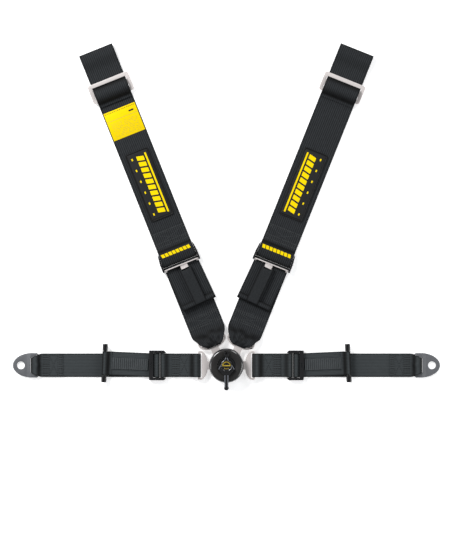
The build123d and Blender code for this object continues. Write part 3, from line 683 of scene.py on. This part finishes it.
def stitch_lines(lines, height):
    """Rows of stitches between pairs of plan points."""
    made = []
    shape = (sizes().stitch / MM / 2, 0.85, 0.45)
    pitch = sizes().stitch_pitch / MM
    for (x, y), (end_x, end_y) in lines:
        run = hypot(end_x - x, end_y - y)
        count = max(2, int(run / pitch))
        row = bead_row(shape, count, (run / count, 0, 0))
        row.rotation_euler = (0, 0, atan2(end_y - y, end_x - x))
        row.location = (x + (end_x - x) / count / 2, y + (end_y - y) / count / 2, height)
        made.append(settle(row))
    return join(made)


def cross_stitches(places, half, height, pitch):
    """Rows of short stitches that lie along the belt, each row running across it."""
    made = []
    for place in places:
        count = int(2 * half / pitch)
        row = bead_row((1.7, 1.1, 0.45), count + 1, (0, 2 * half / count, 0))
        row.location = (place, -half, height)
        made.append(settle(row))
    return join(made)


def sew(name, belt, body, material, box, rows, halves, height, pitch):
    """Sews a boxed cross and rows of stitches across the belt."""
    thread = join([
        stitch_lines(box_and_cross(*box, halves[0]), height),
        cross_stitches(rows, halves[1], height, pitch),
    ])
    seat(thread, name, belt, body, material)


def join(objects):
    activate(objects[0])
    for obj in objects:
        obj.select_set(True)
    bpy.context.view_layer.objects.active = objects[0]
    if len(objects) > 1:
        bpy.ops.object.join()
    return bpy.context.object


def box_and_cross(low, high, half):
    """Plan lines of a boxed cross between two places along a belt."""
    corners = [(low, -half), (high, -half), (high, half), (low, half)]
    sides = list(zip(corners, corners[1:] + corners[:1]))
    return sides + [((low, -half), (high, half)), ((low, half), (high, -half))]


def rounded_plate(length_x, length_y, centre, corner, segments=6):
    """A flat plate outline from one plane, its corners bevelled round."""
    start_clean()
    bpy.ops.mesh.primitive_plane_add(size=1, location=(0, 0, 0))
    obj = bpy.context.object
    obj.scale = (length_x, length_y, 1)
    obj.location = centre
    edit(settle(obj))
    bpy.ops.mesh.select_all(action="SELECT")
    bpy.ops.mesh.bevel(offset=corner, segments=segments, affect="VERTICES")
    close()
    return obj


def thicken_up(obj, amount):
    """Extrudes a flat plate upwards into a solid with its faces outwards."""
    edit(obj)
    bpy.ops.mesh.select_all(action="SELECT")
    bpy.ops.mesh.extrude_region_move(TRANSFORM_OT_translate={"value": (0, 0, amount)})
    face_outwards()
    close()
    return obj


def turned(profile, vertices):
    """A round piece from a circle that is extruded and resized through (radius, height) steps."""
    start_clean()
    radius, height = profile[0]
    bpy.ops.mesh.primitive_circle_add(vertices=vertices, radius=radius, location=(0, 0, height))
    obj = bpy.context.object
    edit(settle(obj))
    bpy.ops.mesh.select_all(action="SELECT")
    for (old, old_height), (new, new_height) in zip(profile, profile[1:]):
        bpy.ops.mesh.extrude_region_move(
            TRANSFORM_OT_translate={"value": (0, 0, new_height - old_height)}
        )
        grow = new / old
        bpy.ops.transform.resize(value=(grow, grow, 1), center_override=(0, 0, new_height))
    bpy.ops.mesh.select_all(action="SELECT")
    bpy.ops.mesh.remove_doubles(threshold=0.001)
    if profile[0] != profile[-1]:
        bpy.ops.mesh.select_all(action="DESELECT")
        bpy.ops.mesh.select_mode(type="EDGE")
        bpy.ops.mesh.select_non_manifold(extend=False)
        bpy.ops.mesh.edge_face_add()
    face_outwards()
    close()
    return obj


# ---- the stage -------------------------------------------------------------------------------
class HARNESS_OT_stage(bpy.types.Operator):
    """Lays the floor, hangs the soft lights and sets the camera overhead"""

    bl_idname = "harness.stage"
    bl_label = "Stage"
    LIGHTS = (  # name, place from the harness's middle in metres, size, power
        ("key_light", (-2.0, 2.0, 1.9), 1.2, 120.0),
        ("fill_light", (2.5, -1.4, 1.7), 1.6, 34.0),
        ("strip_1", (2.4, -0.3, 0.8), 1.0, 14.0),
        ("strip_-1", (-2.4, -0.3, 0.8), 1.0, 14.0),
        ("rim_light", (1.8, 2.8, 1.4), 1.2, 30.0),
    )

    def execute(self, context):
        start_clean()
        bpy.ops.mesh.primitive_plane_add(size=14, location=(0, 0, -0.0004))
        floor = context.object
        floor.name = "floor"
        floor.data.materials.append(finish("floor"))
        middle = Vector((-0.003, 0.186, 0.0))
        for name, place, size, power in self.LIGHTS:
            self.light(name, middle + Vector(place), size, power, middle)
        world = bpy.data.worlds.new("studio")
        context.scene.world = world
        world.use_nodes = True
        world.node_tree.nodes["Background"].inputs["Color"].default_value = (0.95, 0.97, 1.0, 1)
        world.node_tree.nodes["Background"].inputs["Strength"].default_value = 0.2
        bpy.ops.object.camera_add(location=middle + Vector((0, 0, sizes().view_distance)))
        camera = context.object
        camera.data.sensor_fit = "HORIZONTAL"
        camera.data.lens = camera.data.sensor_width * sizes().view_distance / sizes().view_width
        camera.data.clip_end = 40
        context.scene.camera = camera
        context.scene.view_settings.view_transform = "Standard"
        return {"FINISHED"}

    def light(self, name, place, size, power, target):
        bpy.ops.object.light_add(type="AREA", location=place)
        lamp = bpy.context.object
        lamp.name = name
        lamp.data.size = size
        lamp.data.energy = power
        lamp.rotation_euler = (target - place).to_track_quat("-Z", "Y").to_euler()


# ---- the buckle ------------------------------------------------------------------------------
class HARNESS_OT_buckle(bpy.types.Operator):
    """Finishes the buckle: back plate, housing, bevelled cover and what is inside"""

    bl_idname = "harness.buckle"
    bl_label = "Buckle"

    def execute(self, context):
        for part in ("back_plate", "housing"):
            cad_copy(f"buckle_{part}", part, "buckle", "gloss_black", 0.0003, slot="black_metal")
        cover = turned(
            [
                (4.7, 23.6), (4.7, 25.4), (18.0, 25.4), (18.7, 26.0), (18.7, 27.5), (19.3, 28.0),
                (31.6, 28.0), (32.6, 27.75), (35.4, 25.0), (36.25, 23.2), (36.25, 13.2),
                (35.9, 12.6), (33.4, 12.6), (33.2, 22.4), (31.6, 25.8), (20.3, 25.8), (20.3, 23.6),
                (4.7, 23.6),
            ],
            128,
        )
        soften(cover, 0.25, 2, 40.0)
        seat(cover, "cover", CENTRE, "buckle", "gloss_black", ["buckle_cover"])
        cover.data.materials.append(finish("satin_black"))
        edit(cover, "FACE")
        pick(
            lambda face: face.normal.z > 0.97
            and face.calc_center_median().z > 0.0274
            and face.calc_center_median().xy.length < 0.0322,
            "FACE",
        )
        cover.active_material_index = 1
        bpy.ops.object.material_slot_assign()
        close()
        for node in ("cover_screws", "captive_pin", "return_spring"):
            finish_node(node, "inner_steel")
        springs = cad_copy("lock_springs", "springs", "buckle", "inner_steel", 0)
        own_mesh(springs)
        for node in ("lever_shaft", "cam_plate", "lifter_ring", "lock_pins"):
            finish_node(node, "inner_steel")
        return {"FINISHED"}


class HARNESS_OT_lever(bpy.types.Operator):
    """Makes the release lever with lines of painted highlight along its edges and the plain pattern
    on its cap
    """

    bl_idname = "harness.lever"
    bl_label = "Release lever"

    def execute(self, context):
        cad_copy("release_lever", "lever", "lever", "gloss_black", 0.0009, 3, "black_metal")
        # Raised lines in light steel along the lever's edges are painted highlights.
        highlight_lines = []
        for side in (1, -1):
            highlight_lines.append(self.highlight_line(26.0, (side * 3.2, -33.0), 0.0))
            highlight_lines.append(self.highlight_line(9.0, (side * 3.3, 12.6), side * 28.0))
            highlight_lines.append(self.highlight_line(9.0, (side * 14.2, -3.6), side * 28.0))
        seat(soften(join(highlight_lines), 0.2, 2, 40.0), "lever_painted_highlights", CENTRE, "lever", "bright_edge")
        cap = turned(
            [(11.2, 32.9), (12.4, 33.3), (12.4, 34.8), (11.9, 35.5), (11.2, 35.85), (10.6, 35.7),
             (10.2, 35.3), (4.0, 35.3)],
            96,
        )
        soften(cap, 0.15, 2, 40.0)
        seat(cap, "cap", CENTRE, "lever", "gloss_black", ["lever_cap"])
        marks = [self.mark(2.4, 1.7, (0, 8.0), angle) for angle in range(-72, 73, 12)]
        marks += [self.mark(1.2, 1.0, (0, -6.6), angle) for angle in range(-36, 37, 18)]
        marks += [self.mark(1.5, 2.3, (x, 0.4), 0) for x in (-7.2, -4.8, -2.4, 0, 2.4, 4.8, 7.2)]
        seat(join(marks), "cap_marks", CENTRE, "lever", "gold")
        return {"FINISHED"}

    def highlight_line(self, length, place, angle):
        """One line of painted highlight along the lever's edge: a thin raised strip in light steel.
        """
        highlight_line = rounded_plate(1.3, length, (0, 0, 32.6), 0.5, 3)
        thicken_up(highlight_line, 0.7)
        highlight_line.rotation_euler = (0, 0, radians(angle))
        highlight_line.location = (*place, 0)
        return settle(highlight_line)

    def mark(self, width, height, place, angle):
        """One plain block of the cap's pattern, turned about the cap's middle."""
        mark = thicken_up(rounded_plate(width, height, (*place, 35.2), 0.2, 2), 0.45)
        mark.rotation_euler = (0, 0, radians(angle))
        return settle(mark)


# ---- hardware --------------------------------------------------------------------------------
class HARNESS_OT_hardware(bpy.types.Operator):
    """Finishes the tongues, adjusters, slides, pull bars and end brackets"""

    bl_idname = "harness.hardware"
    bl_label = "Hardware"
    COPIES = (  # CAD node, piece, body, finish, rounding in metres, segments, slot
        ("lap_tongue", "tongue_lap", None, "silver_steel", None, 3, None),
        ("shoulder_tongue", "tongue_shoulder", None, "silver_steel", None, 3, None),
        ("shoulder_adjuster_frame", "frame_s", "shoulder_adjuster", "gloss_black", 0.0007, 3,
         "black_metal"),
        ("shoulder_lock_bar", "lock_bar", "shoulder_adjuster", "silver_steel", 0.0003, 2, None),
        ("shoulder_slide", "slide", "shoulder_bar_loop", "silver_steel", 0.0006, 3, None),
        ("lap_adjuster_frame", "frame_l", "lap_adjuster", "gloss_black", 0.0007, 3, "black_metal"),
        ("lap_adjuster_bar", "bar_l", "lap_adjuster", "gloss_black", 0.0003, 2, "black_metal"),
        ("lap_bracket", "bracket", "lap_end_bracket", "grey_steel", 0.0006, 3, None),
        ("pull_bar_rod", "rod", "pull_bar", "gloss_black", 0.0004, 2, "black_plastic"),
    )

    def execute(self, context):
        for side in SIDES:
            for node, name, body, material, rounding, segments, slot in self.COPIES:
                body = f"{side}_{body}" if body else "buckle"
                rounding = rounding or sizes().metal_round
                names = f"{side}_{node}", f"{side}_{name}"
                cad_copy(*names, body, material, rounding, segments, slot)
            self.caps(side)
        return {"FINISHED"}

    def caps(self, side):
        """Two turned caps with a rolled rim and two grooves."""
        made = []
        for end in (1, -1):
            profile = [
                (3.9, 25.8), (5.2, 25.8), (5.5, 26.3), (5.5, 27.4), (5.1, 27.8), (5.1, 28.4),
                (5.5, 28.8), (5.5, 38.6), (5.3, 39.8), (4.6, 40.6), (3.4, 40.7), (3.4, 39.9),
                (3.9, 37.9), (3.9, 25.8),
            ]
            cap = turned(profile, 40)
            cap.rotation_euler = (radians(-90 * end), 0, 0)
            cap.location = (PULL_BAR[0], 0, PULL_BAR[1])
            made.append(settle(cap))
        caps = soften(join(made), 0.2, 2, 40.0)
        seat(caps, f"{side}_caps", lap_tail_belt(SIDES[side]), f"{side}_pull_bar", "black_plastic",
             [f"{side}_pull_bar_caps"])


# ---- shoulder belts --------------------------------------------------------------------------
class HARNESS_OT_shoulder_webbing(bpy.types.Operator):
    """Lays the webbing of both shoulder belts and sews it"""

    bl_idname = "harness.shoulder_webbing"
    bl_label = "Shoulder webbing"

    def execute(self, context):
        for side, sign in SIDES.items():
            belt = shoulder_belt(sign)
            self.lower(side, sign, belt)
            self.feed(side, belt)
            self.tail(side, belt)
            self.release(side, belt)
            self.upper(side, belt)
            self.anchor(side, belt)
        return {"FINISHED"}

    def lower(self, side, sign, belt):
        """The gathered end: it folds over the tongue's plate, passes the slot and is sewn."""

        def edges(inner, outer):
            return (sign * inner, sign * outer) if sign > 0 else (sign * outer, sign * inner)

        full = SHOULDER_HALF
        rows = [(x, 2.1, -full, full) for x in (121.0, 108.0, 99.0, 90.0)]
        rows += [(83.0, 2.5, -full, full), (77.5, 4.2, -full, full)]
        lip = [
            (72.0, 8.0, -36.8, 35.8), (66.5, 11.4, -32.0, 33.8), (61.0, 13.0, -29.6, 30.0),
            (55.5, 13.6, -26.8, 26.8), (50.0, 13.3, -21.4, 23.4), (46.5, 12.6, -15.6, 19.2),
            (44.2, 11.8, -14.0, 15.0), (43.6, 11.0, -13.4, 14.2), (45.0, 10.35, -14.0, 15.0),
            (48.5, 10.2, -18.0, 18.0), (51.6, 10.1, -22.0, 22.0), (53.3, 9.2, -23.5, 23.5),
            (54.1, 7.8, -24.2, 24.2),
        ]
        rows += [(x, z, *edges(a, b)) for x, z, a, b in lip]
        rows += [
            (54.6, 5.8, -24.4, 24.4), (56.2, 4.5, -24.6, 24.6), (59.5, 4.0, -26.0, 26.0),
            (64.5, 3.2, -30.5, 30.5), (70.0, 1.7, -35.0, 35.0), (76.0, 0.8, -full, full),
            (84.0, 0.7, -full, full), (96.0, 0.7, -full, full), (108.0, 0.7, -full, full),
            (117.95, 0.7, -full, full),
        ]
        strap = lay_webbing(rows, 2 * full, 28)
        edit(strap)
        pull([(64, -sign * 20, 12), (54, -sign * 5, 13.5)], 10, (0, 0, 3.2))
        pull([(71, -sign * 8, 8.5), (60, sign * 3, 13)], 8, (0, 0, -3.6))
        pull([(67, sign * 22, 11), (73, sign * 8, 8)], 9, (0, 0, 3.0))
        pull([(50, sign * 6, 13), (57, sign * 14, 13)], 6, (0, 0, -3.6))
        pull([(47, sign * 12, 12.5), (52, -sign * 13, 13.3)], 5, (0, 0, 1.8))
        pull([(84, sign * 20, 2.5), (86, -sign * 14, 2.5)], 11, (0, 0, 1.4))
        close()
        weave_solid(strap, 2)
        seat(strap, f"{side}_lower_webbing", belt, None, "shoulder_webbing",
             [f"{side}_shoulder_lower_strap"])
        belt.point(52)
        belt.point(75)
        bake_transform(strap)
        sew(f"{side}_lower_stitches", belt, f"{side}_shoulder_lower_belt", "thread",
            (92, 113.5), (115.2, 111.0, 96.5, 92.0), (33, 33), 2.1 + STITCH_RISE, 4.4)

    def feed(self, side, belt):
        """The webbing that runs on to the adjuster and turns round its bar."""
        points = flat(118.05, 226.0, FIRST_LAYER)
        points += ring(SHOULDER_TURN_BAR, TURN_BAR_TURN, -90, 180, 8) + [(230.6, 6.8)]
        strap = strap_through(points, SHOULDER_HALF, snug=(229.0, 240.0))
        seat(strap, f"{side}_feed_webbing", belt, None, "shoulder_webbing",
             [f"{side}_shoulder_feed_webbing"])
        belt.point(119)
        belt.point(224)
        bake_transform(strap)

    def tail(self, side, belt):
        """The tail that comes back over the belt, with its end rolled."""
        swung = shoulder_tail_belt(belt.side)
        points = [(230.5, 6.75), (229.0, 6.2), (227.0, 4.9), (224.0, 4.2)]
        points += flat(219.0, 152.0, TAIL_LAYER)
        points += [
            (146.0, 4.1), (140.2, 4.1), (138.2, 4.6), (137.2, 6.0), (137.6, 8.0), (139.2, 9.5),
            (142.0, 10.3), (145.2, 10.2), (148.0, 9.0), (149.6, 7.4), (149.9, 6.3), (148.9, 5.5),
            (144.0, 5.45),
        ]
        strap = strap_through(points, SHOULDER_HALF)
        seat(strap, f"{side}_tail_webbing", swung, None, "shoulder_webbing",
             [f"{side}_shoulder_tail_hem"])
        swung.point(228)
        swung.point(153)
        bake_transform(strap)

    def release(self, side, belt):
        """The narrow strap that lifts the lock bar."""
        swung = shoulder_tail_belt(belt.side)
        points = [(206.0, 7.15), (211.0, 7.0), (215.5, 6.5)]
        points += ring(CROSSBAR, CROSSBAR_TURN, -90, 180, 8) + [(216.4, 10.8), (211.0, 11.5)]
        points += flat(204.0, 148.0, 11.7) + [(143.6, 11.6), (140.0, 11.2)]
        strap = lay_webbing(level(points, 12.5), 25.0, 12)
        edit(strap)
        pick(
            lambda face: face.calc_center_median().x > 218.0
            and abs(face.calc_center_median().y) < CROSSBAR_SLIT,
            "FACE",
        )
        bpy.ops.mesh.delete(type="FACE")
        close()
        strap.location = (0, belt.side * 4.0, 0)
        weave_solid(settle(strap))
        seat(strap, f"{side}_release_webbing", swung, f"{side}_shoulder_release", "pull_webbing",
             [f"{side}_shoulder_release_strap"])

    def upper(self, side, belt):
        """The long upper belt, sewn in a loop round the adjuster's bar."""
        points = flat(312.0, 280.0, SECOND_LAYER, 8.0)
        points += [(274.5, 2.3), (271.4, 4.4), (269.2, 7.6), (265.8, 10.2), (260.4, 11.6)]
        points += [(254.4, 11.4), (248.6, 10.3), (243.0, 9.4), (238.8, 8.2), (236.8, 6.4)]
        points += [(236.5, 4.4), (236.9, 2.6), (238.4, 1.1), (241.0, 0.7)]
        points += flat(248.0, 627.0, FIRST_LAYER, 12.0)
        strap = strap_through(points, SHOULDER_HALF, snug=(232.0, 264.0))
        body = f"{side}_shoulder_upper_belt"
        seat(strap, f"{side}_upper_webbing", belt, body, "shoulder_webbing",
             [f"{side}_shoulder_upper_strap"])
        sew(f"{side}_upper_stitches", belt, body, "thread", (283, 306), (309.5, 279.5, 287.5),
            (33, 33), SECOND_LAYER + STITCH_RISE, 3.4)

    def anchor(self, side, belt):
        """The loop for the harness bar, threaded through the slide."""
        points = [(607.0, 2.4), (616.0, 2.4), (624.0, 2.5), (626.3, 3.6), (626.6, 6.0)]
        points += [(627.2, 8.2), (629.5, 9.0), (632.8, 9.1), (636.2, 9.0), (638.4, 8.2)]
        points += [(639.0, 6.0), (639.3, 3.6), (641.6, 2.5)] + flat(650.0, 708.0, 2.4, 12.0)
        points += ring((715.7, 6.0), 3.6, -90, 180, 8)
        points += [(708.0, 9.6), (700.0, 9.2), (690.0, 7.0), (680.0, 4.9), (670.0, 4.2)]
        points += [(656.0, 4.1), (646.5, 4.1), (643.0, 4.6), (642.0, 7.0), (641.0, 10.4)]
        points += [(637.6, 13.0), (632.6, 14.4), (627.0, 14.7), (621.4, 14.0), (616.4, 12.4)]
        points += [(612.4, 9.8), (609.6, 6.8), (607.4, 4.6), (604.6, 3.7), (601.0, 3.6)]
        strap = strap_through(points, SHOULDER_HALF)
        seat(strap, f"{side}_loop_webbing", belt, f"{side}_shoulder_bar_loop", "shoulder_webbing",
             [f"{side}_shoulder_anchor_loop"])


class HARNESS_OT_badges(bpy.types.Operator):
    """Makes the rubber badges, the striped tapes and the woven label"""

    bl_idname = "harness.badges"
    bl_label = "Badges and label"

    def execute(self, context):
        for side, sign in SIDES.items():
            belt = shoulder_belt(sign)
            self.badge(side, sign, belt)
            self.tape(side, sign, belt)
        self.label(shoulder_belt(-1))
        return {"FINISHED"}

    def badge(self, side, sign, belt):
        body = f"{side}_shoulder_upper_belt"
        plate = rounded_plate(152.5, 52.5, (412.25, 0, 1.45), 5.0)
        thicken_up(plate, 1.9)
        edit(plate, "FACE")
        pick(lambda face: face.normal.z > 0.9 and face.calc_center_median().z > 3.0, "FACE")
        bpy.ops.mesh.inset(thickness=1.6)
        bpy.ops.mesh.inset(thickness=0.5)
        bpy.ops.transform.translate(value=(0, 0, -0.9))
        bpy.ops.mesh.inset(thickness=1.4)
        bpy.ops.mesh.inset(thickness=0.5)
        bpy.ops.transform.translate(value=(0, 0, 0.6))
        close()
        soften(plate, 0.3, 2, 30.0)
        seat(plate, f"{side}_badge", belt, body, "black_rubber", [f"{side}_shoulder_badge"])
        plate.data.materials.append(finish("badge_field"))
        edit(plate, "FACE")
        inverse = belt.matrix().inverted()
        pick(
            lambda face: face.normal.z > 0.9
            and abs((inverse @ face.calc_center_median()).x - 412.25) < 70.5
            and abs((inverse @ face.calc_center_median()).y) < 21.0,
            "FACE",
        )
        plate.active_material_index = 1
        bpy.ops.object.material_slot_assign()
        close()
        marks = [self.block(135.0, 3.7, (412.0, sign * 16.2), 0.8)]
        for index in range(10):
            marks.append(self.block(9.6, 15.5, (353.2 + 13.1 * index, sign * 3.2), 0.9, 3.2))
        for index in range(6):
            marks.append(self.block(5.0, 3.0, (350.0 + 24.8 * index, -sign * 14.6), 0.6))
        stripes = soften(join(marks), 0.15, 1, 40.0)
        seat(stripes, f"{side}_badge_stripes", belt, body, "yellow_print")

    def block(self, size_x, size_y, place, corner, slant=0.0):
        """One raised block of the generic pattern, slanted if asked."""
        block = rounded_plate(size_x, size_y, (0, 0, 2.9), corner, 2)
        if slant:
            edit(block)
            pick(lambda vert: vert.co.y > 0)
            bpy.ops.transform.translate(value=(slant, 0, 0))
            close()
        block.location = (place[0] - slant / 2, place[1], 0)
        return thicken_up(settle(block), 0.55)

    def tape(self, side, sign, belt):
        """A dashed stripe on the roll over the adjuster."""
        dashes = []
        for index in range(8):
            dash = rounded_plate(7.6, 6.6, (260.3, -28.7 + 8.2 * index, 12.05), 0.5, 2)
            edit(dash)
            pick(lambda vert: vert.co.x > 260.3)
            bpy.ops.transform.translate(value=(0, 1.4, -0.3))
            close()
            dashes.append(thicken_up(dash, 0.45))
        seat(join(dashes), f"{side}_tape_stripes", belt, f"{side}_shoulder_upper_belt",
             "yellow_print")

    def label(self, belt):
        cloth = rounded_plate(62.0, 70.8, (556.0, 0, 1.5), 0.4, 2)
        thicken_up(cloth, 0.55)
        soften(cloth, 0.12, 2, 40.0)
        body = "left_shoulder_upper_belt"
        seat(cloth, "label", belt, body, "label_cloth", ["left_shoulder_label"])
        lozenge = thicken_up(rounded_plate(3.4, 11.5, (574.0, -22.5, 2.0), 1.6, 3), 0.15)
        thread = join([stitch_lines([((583.6, -34.2), (583.6, 34.2))], 2.1), lozenge])
        seat(thread, "label_stitches", belt, body, "dark_thread")


# ---- lap belts -------------------------------------------------------------------------------
class HARNESS_OT_lap_webbing(bpy.types.Operator):
    """Lays the webbing of both lap belts, sews it and adds the ribbed grips"""

    bl_idname = "harness.lap_webbing"
    bl_label = "Lap webbing"

    def execute(self, context):
        for side, sign in SIDES.items():
            belt = lap_belt(sign)
            self.inner(side, belt)
            self.feed(side, belt)
            self.tail(side, belt)
            self.grip(side, belt)
            self.outer(side, belt)
        return {"FINISHED"}

    def inner(self, side, belt):
        """One loop round the tongue and round the adjuster's inner bar, sewn in the middle."""
        points = flat(115.0, 82.0, 3.4)
        points += [(77.5, 4.2), (73.6, 7.2), (70.0, 11.2), (66.0, 13.6), (61.6, 13.0), (59.6, 12.0)]
        points += ring(TONGUE_BAR, FLAT_BAR_TURN, 90, 180, 8)
        points += [(62.0, 4.1), (67.0, 3.0), (73.0, 1.2)] + flat(79.0, 127.0, FIRST_LAYER)
        points += [(134.8, 0.7), (138.0, 1.1), (139.6, 2.5), (140.1, 4.4), (139.4, 6.8)]
        points += [(137.5, 8.7), (134.6, 9.5), (131.2, 8.7), (128.6, 7.0), (126.0, 5.0)]
        points += [(123.0, 3.2), (119.0, 2.2)]
        points += flat(112.0, 80.0, SECOND_LAYER, 10.0)
        strap = strap_through(points, LAP_HALF, LAP_CELLS, (129.0, 145.0))
        body = f"{side}_lap_inner_belt"
        seat(strap, f"{side}_inner_webbing", belt, body, "lap_webbing", [f"{side}_lap_inner_strap"])
        sew(f"{side}_inner_stitches", belt, body, "dark_thread", (80.0, 99.0),
            (76.5, 102.5, 106.0, 109.5, 113.2), (21.0, 21.5), 3.4 + STITCH_RISE, 4.6)

    def feed(self, side, belt):
        """Round the adjuster's turn bar and out under the tail."""
        points = [(157.0, 4.25), (154.0, 5.6), (151.0, 7.2), (147.6, 8.0), (144.0, 7.4)]
        points += [(142.0, 5.6), (141.6, 3.8), (142.1, 2.1), (143.6, 1.0), (146.0, 0.7)]
        points += flat(152.0, 249.95, FIRST_LAYER, 10.0)
        strap = strap_through(points, LAP_HALF, LAP_CELLS, (138.0, 153.0))
        seat(strap, f"{side}_lap_feed", belt, None, "lap_webbing", [f"{side}_lap_feed_webbing"])
        belt.point(166)
        belt.point(246)
        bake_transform(strap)

    def tail(self, side, belt):
        """The tail that the wearer pulls, looped back on itself round the pull bar."""
        swung = lap_tail_belt(belt.side)
        points = flat(157.1, 244.0, TAIL_LAYER, 10.0) + [(251.0, 4.1)]
        points += ring(PULL_BAR, PULL_BAR_TURN, -90, 180, 10)
        points += [(255.0, 13.2), (252.0, 10.6), (249.5, 7.4), (246.5, 5.6), (243.0, 5.45)]
        strap = strap_through(points, LAP_HALF, LAP_CELLS)
        seat(strap, f"{side}_lap_tail_webbing", swung, None, "lap_webbing",
             [f"{side}_lap_tail_loop"])
        swung.point(166)
        swung.point(243)
        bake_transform(strap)

    def grip(self, side, belt):
        """A moulded strip with ribs across it, laid on the tail."""
        swung = lap_tail_belt(belt.side)
        points = [(165.5, 5.4)]
        for index in range(18):
            low = 166.4 + 4.2 * index
            points += [(low, 5.3), (low + 0.6, 6.8), (low + 1.9, 6.8), (low + 2.5, 5.3)]
        points += [(242.2, 5.6), (242.4, 6.5), (243.2, 6.5), (243.4, 5.4)]
        strip = lay_webbing(level(points, 12.0), 24.0, 10)
        modify(strip, "SOLIDIFY", thickness=0.7, offset=0.0)
        edit(strip)
        face_outwards()
        close()
        strip.location = (0, belt.side * 0.5, 0)
        soften(settle(strip), 0.15, 1, 30.0)
        seat(strip, f"{side}_grip", swung, None, "grip_rubber", [f"{side}_lap_grip_strip"])
        swung.point(166)
        swung.point(243)
        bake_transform(strip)

    def outer(self, side, belt):
        """Out to the bracket, gathered into its slot and sewn back."""
        half = LAP_HALF
        near, far = flat(250.05, 340.0, FIRST_LAYER, 10.0), flat(350.0, 391.0, FIRST_LAYER, 10.0)
        rows = level(near + far, half)
        rows += [
            (395.0, 0.7, -24.4, 24.4), (399.0, 0.7, -22.2, 22.2), (403.0, 0.7, -20.8, 20.8),
            (408.0, 0.7, -18.4, 18.4), (412.0, 1.4, -16.3, 16.3), (413.8, 3.2, -15.3, 15.3),
            (413.9, 5.2, -15.3, 15.3), (412.6, 7.4, -16.0, 16.0), (409.6, 9.0, -17.6, 17.6),
            (405.6, 9.8, -19.8, 19.8), (401.6, 9.4, -21.6, 21.6), (398.6, 7.2, -22.6, 22.6),
            (395.6, 4.0, -24.0, 24.0), (391.8, 2.2, -half, half),
        ]
        rows += level(flat(386.0, 346.5, SECOND_LAYER, 8.0), half)
        strap = lay_webbing(rows, 2 * half, 18)
        edit(strap)
        pull([(402, 0, 7.8)], 9, (-1.6, 0, 0.6))
        pull([(396, 10, 4.4), (396, -10, 4.4)], 6, (0, 0, -0.7))
        close()
        weave_solid(strap)
        body = f"{side}_lap_outer_belt"
        seat(strap, f"{side}_outer_webbing", belt, body, "lap_webbing", [f"{side}_lap_outer_strap"])
        sew(f"{side}_outer_stitches", belt, body, "dark_thread", (357.0, 375.0),
            (388.0, 384.8, 381.4, 378.0, 353.0, 349.0), (21.0, 21.5),
            SECOND_LAYER + STITCH_RISE, 4.6)


CLASSES = (
    HarnessSizes,
    HarnessColours,
    HARNESS_OT_stage,
    HARNESS_OT_buckle,
    HARNESS_OT_lever,
    HARNESS_OT_hardware,
    HARNESS_OT_shoulder_webbing,
    HARNESS_OT_badges,
    HARNESS_OT_lap_webbing,
)
OPERATORS = [item for item in CLASSES if issubclass(item, bpy.types.Operator)]


class HARNESS_PT_panel(bpy.types.Panel):
    """Lists the harness's parts"""

    bl_idname = "HARNESS_PT_panel"
    bl_label = "Harness"
    bl_space_type = "VIEW_3D"
    bl_region_type = "UI"
    bl_category = "Harness"

    def draw(self, context):
        for group in (context.scene.harness_sizes, context.scene.harness_colours):
            for name in group.__annotations__:
                self.layout.prop(group, name)
        for operator in OPERATORS:
            self.layout.operator(operator.bl_idname)


def register():
    for item in (*CLASSES, HARNESS_PT_panel):
        bpy.utils.register_class(item)
    bpy.types.Scene.harness_sizes = PointerProperty(type=HarnessSizes)
    bpy.types.Scene.harness_colours = PointerProperty(type=HarnessColours)


def unregister():
    del bpy.types.Scene.harness_colours
    del bpy.types.Scene.harness_sizes
    for item in reversed((*CLASSES, HARNESS_PT_panel)):
        bpy.utils.unregister_class(item)


def main():
    register()
    for operator in OPERATORS:
        getattr(bpy.ops.harness, operator.bl_idname.split(".")[1])()
    start_clean()


if __name__ == "__main__":
    main()
